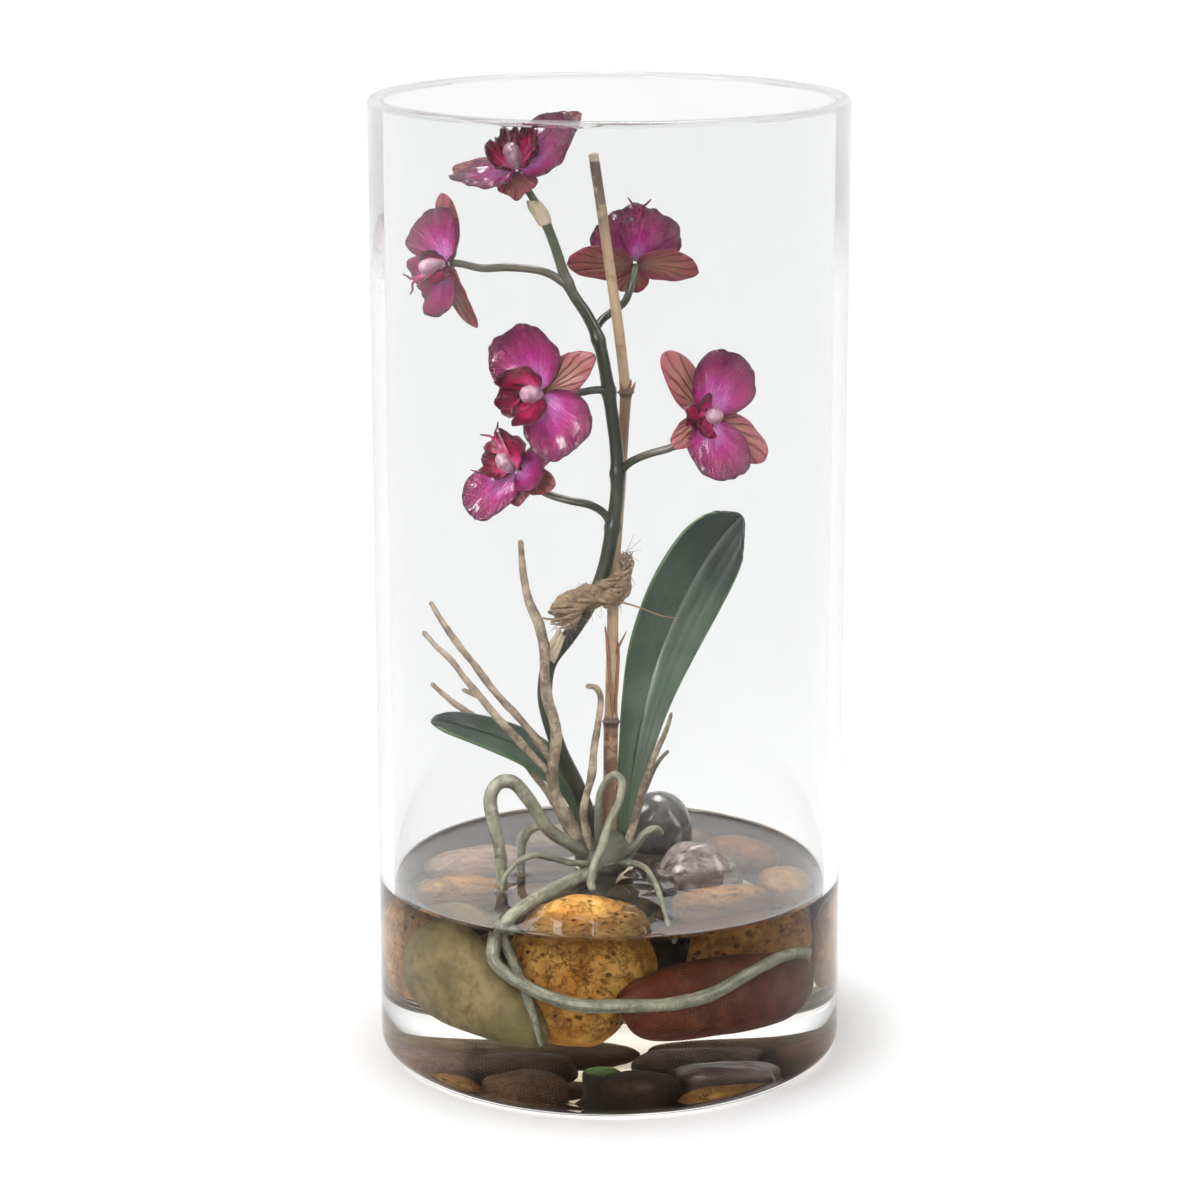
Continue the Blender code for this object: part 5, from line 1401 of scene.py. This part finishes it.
def make_bloom(number, name, centre, facing, scale, sepals, petals, lip, lip_size, whiskers):
    frame_of_bloom = bloom_frame(centre, facing, scale)
    seed = number * 7.3
    back = [turned_place(fan(length, width, bend, seed + index, **SEPAL), angle,
                         (index - 1) * LAYER_STEP, roll)
            for index, (angle, length, width, bend, roll) in enumerate(sepals)]
    broad = [turned_place(fan(length, width, bend, seed + 10 + index, **PETAL), angle,
                          PETAL_LEVEL + (index - 0.5) * LAYER_STEP, roll)
             for index, (angle, length, width, bend, roll) in enumerate(petals)]
    front = [turned_place(fan(length * lip_size, width * lip_size, bend, seed + 20 + index, **LOBE),
                          lip + side, LIP_LEVEL + side * 0.0015)
             for index, (side, length, width, bend) in enumerate(LIP_LOBES)]

    toward = math.radians(lip)
    leaning = Vector((math.cos(toward), math.sin(toward), 0))
    beside = Vector((-leaning.y, leaning.x, 0))
    column = [(*(leaning * forward + Vector((0, 0, COLUMN_LEVEL + high))), radius)
              for high, forward, radius in COLUMN]
    finger = add_tube(new_shape(), column, 28, 0.2, knobbly(0.34, number + 1.0, 0.8))
    lobes = blades(front, 44, 64, 0.5)
    for side in (-1, 1) if whiskers else ():
        add_tube(lobes, [(*(leaning * whiskers * out + beside * side * wide + Vector((0, 0, high))), radius)
                         for out, wide, high, radius in WHISKER], 10, 0.4)

    for part, slot, shape in (("sepals", "sepal_coral", blades(back, 44, 44, 0.5)),
                              ("petals", "petal_magenta", blades(broad, 52, 76, 0.55)),
                              ("lip", "lip_crimson", lobes), ("column", "column_pale", finger)):
        bmesh.ops.transform(shape, matrix=frame_of_bloom, verts=shape.verts)
        dress(f"{name}_{part}_cast", close_shape(shape), f"{name}_{part}", slot, looks[slot])


for number, bloom in enumerate(BLOOMS):
    make_bloom(number, *bloom)
print("blooms:", len(BLOOMS))

# %% [markdown]
# ## Camera
# The camera stands where the photograph was taken from, about 0.95 m away and a little above the rim. A
# wide lens from close by would also fill the picture, but a long one from there keeps the sides of the
# vase nearly parallel.

# %% Camera
CAMERA_PLACE, CAMERA_DIP = (0, -0.9487, 0.362), 14.0

camera_data = bpy.data.cameras.new("camera")
camera = bpy.data.objects.new("camera", camera_data)
bpy.context.scene.collection.objects.link(camera)
camera.location = CAMERA_PLACE
camera.rotation_euler = (math.radians(90 - CAMERA_DIP), 0, 0)
camera_data.sensor_width = 36
camera_data.lens = 108.07
camera_data.shift_x = -0.0078
camera_data.clip_start = 0.05
bpy.context.scene.camera = camera
print("camera at", CAMERA_PLACE)

# %% [markdown]
# ## Floor and surround
# The vase stands in a bright white studio. A closed room with lamps could give that light, but a pale
# floor under a white surround is simpler. The surround is brighter low at the back and above, which keeps
# the glass clear and its edges grey.

# %% Floor and surround
floor_shape = bmesh.new()
bmesh.ops.create_grid(floor_shape, x_segments=2, y_segments=2, size=12.0,
                      matrix=Matrix.Translation((0, 0, -0.2 * MM)))
floor_paint = Paint("studio_floor", Base_Color=(0.95, 0.95, 0.95), Roughness=0.8)
floor = finish_mesh("studio_floor", floor_shape, floor_paint.material)


class Surround(NodeTree):
    """The world around the scene."""

    def __init__(self, name):
        world = bpy.data.worlds.new(name)
        bpy.context.scene.world = world
        world.use_nodes = True
        self.tree = world.node_tree
        self.skin = self.tree.nodes["Background"]


studio = Surround("white_studio")
toward = studio.node("ShaderNodeTexCoord")
rear, up = studio.along(toward, 1), studio.along(toward, 2)
low_rear = studio.step(rear, 0.3, 0.9) * (1 - studio.step(up, 0.35, 0.7))
studio.feed("Color", (1.0, 1.0, 1.0))
studio.feed("Strength", 0.27 + studio.step(up, -0.1, 0.75) * 0.55 + low_rear * 0.8)

scene = bpy.context.scene
scene.view_settings.view_transform = "Standard"
scene.cycles.max_bounces = 20
scene.cycles.transmission_bounces = 20
scene.cycles.transparent_max_bounces = 24
print("room ready")


# %% [markdown]
# ## Lamps
# A wide soft key lights the plant from the left. Four soft boxes are seen only in glossy surfaces, where
# they make the long highlights of the glass and the glints of the petals. They light nothing else,
# because each would add a shadow that the white floor doesn't have.

# %% Wide soft key, and panels that only shine in gloss
# Panels: place, width, height and how bright they are.
PANELS = {
    "panel_left": ((-0.55, -1.15, 0.62), 0.34, 0.80, 20.0),
    "panel_high": ((-0.80, -0.30, 1.10), 0.45, 0.45, 24.0),
    "panel_right": ((0.90, -0.45, 0.65), 0.20, 0.80, 12.0),
    "panel_top": ((0.10, 0.35, 1.20), 0.40, 0.40, 22.0),
}
PANEL_TARGET = Vector((0, 0, 0.15))


def add_lamp(name, kind, toward, **settings):
    """Put a lamp in the scene whose light comes from the given direction."""
    lamp = bpy.data.lights.new(name, kind)
    for setting, value in settings.items():
        setattr(lamp, setting, value)
    light = bpy.data.objects.new(name, lamp)
    scene.collection.objects.link(light)
    light.rotation_euler = Vector(toward).to_track_quat("Z", "Y").to_euler()
    return light


add_lamp("key_light", "SUN", (-0.45, -0.35, 1.0), energy=1.1, angle=math.radians(35))
for name, (place, wide, tall, radiance) in PANELS.items():
    panel = add_lamp(name, "AREA", Vector(place) - PANEL_TARGET, shape="RECTANGLE", size=wide, size_y=tall,
                     energy=radiance * math.pi * wide * tall)
    panel.location = place
    panel.visible_diffuse = False
    panel.visible_camera = False
print("lights:", 1 + len(PANELS))

# %% [markdown]
# ## The resin's edge
# Before it sets, resin climbs a little up the glass, the stones and the roots, and its top stays slightly
# uneven where it was stirred. A displacement map could show that, but the shine at an edge comes from its
# shape, so the points themselves are lifted. This happens now, because everything that stands in the
# resin is made.

# %% Let the resin creep up
# How high the resin creeps up, and how far away from the glass or a stone that dies out, in millimetres.
GLASS_CREEP, STONE_CREEP = (0.9, 1.3), (0.7, 1.2)


def raise_edges(piece, neighbours):
    """Lift the top near the glass and near everything that stands in the resin."""
    trees = []
    for neighbour in neighbours:
        mesh = neighbour.data
        trees.append(BVHTree.FromPolygons([vert.co for vert in mesh.vertices],
                                          [tuple(face.vertices) for face in mesh.polygons]))
    for vert in piece.data.vertices:
        if vert.co.z < UNDER_TOP:
            continue
        reach = INNER_RADIUS - math.hypot(vert.co.x, vert.co.y)
        rise = GLASS_CREEP[0] * math.exp(-reach / (GLASS_CREEP[1] * MM))
        near = min((tree.find_nearest(vert.co, 6 * MM)[3] or 6 * MM for tree in trees), default=6 * MM)
        rise += STONE_CREEP[0] * math.exp(-near / (STONE_CREEP[1] * MM))
        wave = noise.noise(vert.co * 55) + 0.4 * noise.noise(vert.co * 160)
        stirred = math.exp(-(math.hypot(vert.co.x, vert.co.y + 12 * MM) / (26 * MM)) ** 2)
        vert.co.z += (rise + (0.08 + 0.5 * stirred) * wave) * MM


raise_edges(water, stones + [crown])
print("resin raised at", len(stones) + 1, "pieces and the glass")
